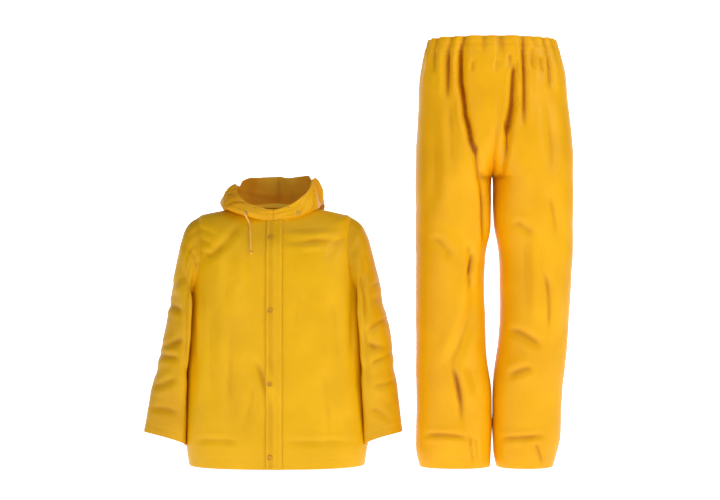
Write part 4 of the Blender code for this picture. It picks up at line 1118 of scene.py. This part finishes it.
def stitching(name, rows, slot):
    """One capsule for each pitch of a row's length: two rings of five points and two tips, along the tangent."""
    centres, ways, ups = [], [], []
    for points, faced in rows:
        reach = run_of(points)
        at = np.arange(STITCH_PITCH / 2, reach[-1], STITCH_PITCH)
        centre = np.stack([np.interp(at, reach, points[:, k]) for k in range(3)], axis=-1)
        centres.append(centre)
        ways.append(unit(np.gradient(centre, axis=0)))
        ups.append(unit(np.stack([np.interp(at, reach, faced[:, k]) for k in range(3)], axis=-1)))
    centre, way, up = (np.concatenate(parts)[:, None] for parts in (centres, ways, ups))
    cross = np.cross(way, up)
    turn = np.linspace(0, 2 * np.pi, 5, endpoint=False)
    along = np.concatenate([[-0.5], np.full(5, -0.3), np.full(5, 0.3), [0.5]]) * STITCH_LENGTH
    radius = np.concatenate([[0], np.full(10, STITCH_RADIUS), [0]])
    turns = np.concatenate([[0], turn, turn, [0]])
    points = (centre + way * along[:, None] + cross * (radius * np.cos(turns))[:, None]
              + up * (radius * np.sin(turns) + 0.2 * STITCH_RADIUS)[:, None])
    ring = np.arange(5)
    after = (ring + 1) % 5
    corners = ((0 * ring, 1 + after, 1 + ring), (0 * ring + 11, 6 + ring, 6 + after),
               (1 + ring, 1 + after, 6 + after), (1 + ring, 6 + after, 6 + ring))
    faces = np.concatenate([np.stack(three, -1) for three in corners])
    faces = (faces[None] + 12 * np.arange(len(centre))[:, None, None]).reshape(-1, 3)
    points = points.reshape(-1, 3)
    a, b, c = (points[faces[:, k]] for k in range(3))
    middle = np.repeat(centre[:, 0], 20, axis=0)
    if np.sum(np.cross(b - a, c - a) * (a - middle)) < 0:
        faces = faces[:, ::-1]
    declare(add_piece(name, points, faces, thread), slot)
    print(f"{name}: {len(centre)} stitches, {len(faces)} triangles")


# %% Where the rows run
all_round = np.linspace(-np.pi, np.pi, 600)
up_side = np.linspace(0.03, ARMPIT_ALONG - 0.004, 300)
jacket_rows = [row_of(jacket, 1, all_round, JACKET_HEM)]
jacket_rows += [row_of(jacket, 1, side * (QUARTER - 0.018), up_side) for side in (1, -1)]
jacket_rows += [row_of(flap, 1, FLAP_LEFT_X - 0.004, np.linspace(0.01, NECK_ALONG - 0.005, 400))]
jacket_rows += [row_of(flap, 1, FLAP_RIGHT_X + 0.0025, np.linspace(0.01, NECK_ALONG - 0.005, 400))]
for side in (1, -1):
    jacket_rows.append(row_of(sleeves[side], -side, all_round, SLEEVE_LENGTH - CUFF_HEM))
    jacket_rows.append(row_of(sleeves[side], -side, all_round, 0.006))
hood_span = np.linspace(0.12, np.pi, 300)
jacket_rows += [row_of(hood, 1, side * hood_span, HOOD_TUNNEL) for side in (1, -1)]
jacket_rows += [row_of(hood, 1, side * (np.pi - 0.035), np.linspace(0.04, HOOD_TUNNEL, 200)) for side in (1, -1)]
stitching("jacket_stitching", jacket_rows, "jacket_cloth")

leg_run = np.linspace(0.005, 0.995, 200)
trouser_rows = []
for (leg, side), surface in legs.items():
    outward = leg * side
    trouser_rows.append(row_of(surface, outward, leg_run, TROUSER_LENGTH - LEG_HEM))
    trouser_rows.append(row_of(surface, outward, leg_run, CASING_HEIGHT + 0.003))
    trouser_rows.append(row_of(surface, outward, 0.98, np.linspace(0.05, TROUSER_LENGTH - 0.005, 500)))
    trouser_rows.append(row_of(surface, outward, 0.012, np.linspace(0.05, CROTCH_DOWN - 0.02, 200)))
stitching("trouser_stitching", trouser_rows, "trouser_cloth")

# %% [markdown]
# ## Press studs and eyelets
# Both are stamped from sheet metal, so their form is a profile turned round an axis. The stud's cap has a
# rolled rim and a shallow dish; the eyelet is a rolled ring with a hole for the cord.

# %% Turned metal
STUD_RADIUS, STUD_HEIGHT, STUD_X, STUD_TOP_Z, STUD_SPACING = 0.0065, 0.0024, -0.006, -0.062, 0.185
EYELET_ANGLE, EYELET_UP = 0.56, 0.30
EYELET_RADIUS, EYELET_HEIGHT, EYELET_LIFT = 0.0055, 0.0014, 0.0005
WALL, STUD_LIFT = 0.0015, 0.0010
SIDES = 48


def turned(name, profile, centre, axis, material, node_name, slot):
    """(radius, height) pairs carried round the axis; the profile closes on itself, so the ring is solid."""
    axis = unit(np.asarray(axis, float))
    one = unit(np.cross(axis, [0.0, 1.0, 0.3]))
    other = np.cross(axis, one)
    turn = np.linspace(0, 2 * np.pi, SIDES, endpoint=False)
    circle = np.cos(turn)[:, None] * one + np.sin(turn)[:, None] * other
    radius, height = np.array(profile).T
    points = centre + radius[:, None, None] * circle + height[:, None, None] * axis
    faces = ring_faces(len(profile), SIDES)
    declare(add_piece(name, points, faces, material, sharp=40), slot, node_name)


# %% Studs on the flap
STUD_PROFILE = [(0.02, 0.72), (0.02, 0.02), (0.98, 0.0), (1.0, 0.18), (0.99, 0.45), (0.95, 0.72), (0.88, 0.92),
                (0.80, 1.0), (0.72, 0.95), (0.62, 0.80), (0.40, 0.73)]
for count in range(4):
    z = STUD_TOP_Z - count * STUD_SPACING
    level = np.array([np.interp(z, JACKET["front_z"], JACKET["along"])])
    x = np.array([STUD_X])
    way = facing(jacket_plain, flap_angle(x, level), level)[0]
    seat = jacket_plain(flap_angle(x, level), level)[0] + way * (WALL + STUD_LIFT)
    turned(f"press_stud_{count + 1}_cap", [(r * STUD_RADIUS, h * STUD_HEIGHT) for r, h in STUD_PROFILE], seat, way,
           stud_lacquer, f"press_stud_{count + 1}", "stud_lacquer")

# %% Eyelets in the hood's front edge
EYELET_PROFILE = [(1.0, 0.0), (1.0, 0.35), (0.93, 0.75), (0.80, 1.0), (0.66, 0.95), (0.54, 0.70), (0.50, 0.30),
                  (0.50, 0.0)]
eyelet_at = {}
for name, side in (("eyelet_left", 1), ("eyelet_right", -1)):
    u, v = np.array([side * EYELET_ANGLE]), np.array([EYELET_UP])
    eyelet_at[side] = hood_plain(u, v)[0], facing(hood_plain, u, v)[0]
    place, way = eyelet_at[side]
    turned(name + "_ring", [(r * EYELET_RADIUS, h * EYELET_HEIGHT) for r, h in EYELET_PROFILE],
           place + way * (EYELET_LIFT + 0.0006), way, eyelet_brass, name, "eyelet_brass")

# %% [markdown]
# ## Drawcord
# One end of the hood's drawcord shows: it leaves the right eyelet, falls over the neck seam and hangs down the
# chest to its knot. The curve follows the CAD model's route, and its far end is an overhand knot.

# %% Route of the drawcord
CORD_DIAMETER, CORD_CLEAR, CORD_EXIT_LIFT, CORD_EXIT_REACH = 0.004, 0.0018, 0.0022, 0.006
KNOT_RADIUS, KNOT_STRETCH = 0.0048, 1.2
CORD_ROUTE = ((-0.030, -0.0600), (-0.045, -0.0585), (-0.062, -0.0565), (-0.080, -0.0550), (-0.096, -0.0545))
place, way = eyelet_at[-1]
exit_point = place + way * CORD_EXIT_LIFT
route = [exit_point, exit_point + way * CORD_EXIT_REACH]
for z, x in CORD_ROUTE:
    x, level = np.array([x]), np.array([np.interp(z, JACKET["front_z"], JACKET["along"])])
    for _ in range(6):
        point = jacket_plain(flap_angle(x, level), level)[0]
        level = level + (z - point[2]) * 0.8
    way = facing(jacket_plain, flap_angle(x, level), level)[0]
    route.append(jacket_plain(flap_angle(x, level), level)[0] + way * (CORD_DIAMETER / 2 + CORD_CLEAR))
route = np.array(route)
reach = run_of(route)
at = np.linspace(0, reach[-1], 24)
route = np.stack([curve(at, reach, route[:, k]) for k in range(3)], axis=-1)

# %% Cord and knot
line = bpy.data.curves.new("drawcord", "CURVE")
line.dimensions = "3D"
line.bevel_depth = CORD_DIAMETER / 2
line.bevel_resolution = 5
line.use_fill_caps = True
spline = line.splines.new("POLY")
spline.points.add(len(route) - 1)
spline.points.foreach_set("co", np.column_stack([route, np.ones(len(route))]).ravel())
line.materials.append(cord_braid)
drawcord = bpy.data.objects.new("drawcord", line)
bpy.context.collection.objects.link(drawcord)
declare(drawcord, "cord_braid", "hood_cord")


def tube(name, path, radius, material):
    """Rings of twelve points across a closed path, turned along its tangent: a tube with no ends."""
    tangent = unit(np.roll(path, -1, axis=0) - np.roll(path, 1, axis=0))
    one = unit(np.cross(tangent, unit(path - path.mean(axis=0)) + [0.01, 0.02, 0.0]))
    other = np.cross(tangent, one)
    turn = np.linspace(0, 2 * np.pi, 12, endpoint=False)[:, None]
    points = path[:, None] + radius * (np.cos(turn) * one[:, None] + np.sin(turn) * other[:, None])
    return add_piece(name, points, ring_faces(len(path), len(turn)), material)


t = np.linspace(0, 2 * np.pi, 96, endpoint=False)
trefoil = np.stack([np.sin(t) + 2 * np.sin(2 * t), np.cos(t) - 2 * np.cos(2 * t), -np.sin(3 * t)], axis=-1)
middle = route[-1] + unit(route[-1] - route[-2]) * KNOT_RADIUS * KNOT_STRETCH
knot = tube("drawcord_knot", middle + trefoil * [0.0011, 0.0013, 0.0012] + [0, -0.0006, 0], 0.0016, cord_braid)
declare(knot, "knot_braid", "hood_cord_knot")

# %% [markdown]
# ## Floor and light
# The photograph has a white surround. A pale floor that curves up far behind gives it. The key lamp stands to
# the wearer's left, so the folds read. The fill and the top lamp open the shadows, and a low one reaches under
# the hood's edge.

# %% Floor
FLOOR_Z = -0.76             # a hand below the trousers' hems, because both garments hang free
profile = np.array([(-8.0, FLOOR_Z), (7.0, FLOOR_Z), (7.6, -0.70), (8.0, -0.50), (8.2, 0.0), (8.2, 4.0)])
points = [(x, y, z) for y, z in profile for x in (-8.0, 8.0)]
faces = [(2 * k, 2 * k + 1, 2 * k + 3, 2 * k + 2) for k in range(len(profile) - 1)]
paper, _ = start("white_paper_roll", 0.9, base_color=linear("#FFFFFF"), emission_color=linear("#FFFFFF"),
                 emission_strength=1.0)
add_piece("pale_floor", points, faces, paper)

# %% Lamps and sky
world = bpy.data.worlds.new("studio")
bpy.context.scene.world = world
world.use_nodes = True
sky = world.node_tree.nodes["Background"]
sky.inputs["Color"].default_value = (1, 1, 1, 1)
sky.inputs["Strength"].default_value = 0.13
LAMPS = (
    ("key", (3.0, -2.0, 1.6), 38, 1.5),
    ("fill", (-1.0, -3.1, 1.8), 16, 1.8),
    ("top", (0.3, -0.6, 2.6), 10, 1.8),
    ("low", (-1.3, -3.0, -0.1), 5, 1.0),
)
AIM = (0.3, 0, -0.1)        # a point between the two garments
for name, where, watts, size in LAMPS:
    lamp = bpy.data.lights.new(name, "AREA")
    lamp.energy, lamp.size = watts, size
    holder = bpy.data.objects.new(name, lamp)
    holder.location = where
    aim = np.subtract(AIM, where)
    flat = np.hypot(aim[0], aim[1])
    holder.rotation_euler = (np.arctan2(flat, -aim[2]), 0, np.arctan2(aim[1], aim[0]) - QUARTER)
    bpy.context.collection.objects.link(holder)
print("lamps:", [name for name, *_ in LAMPS])
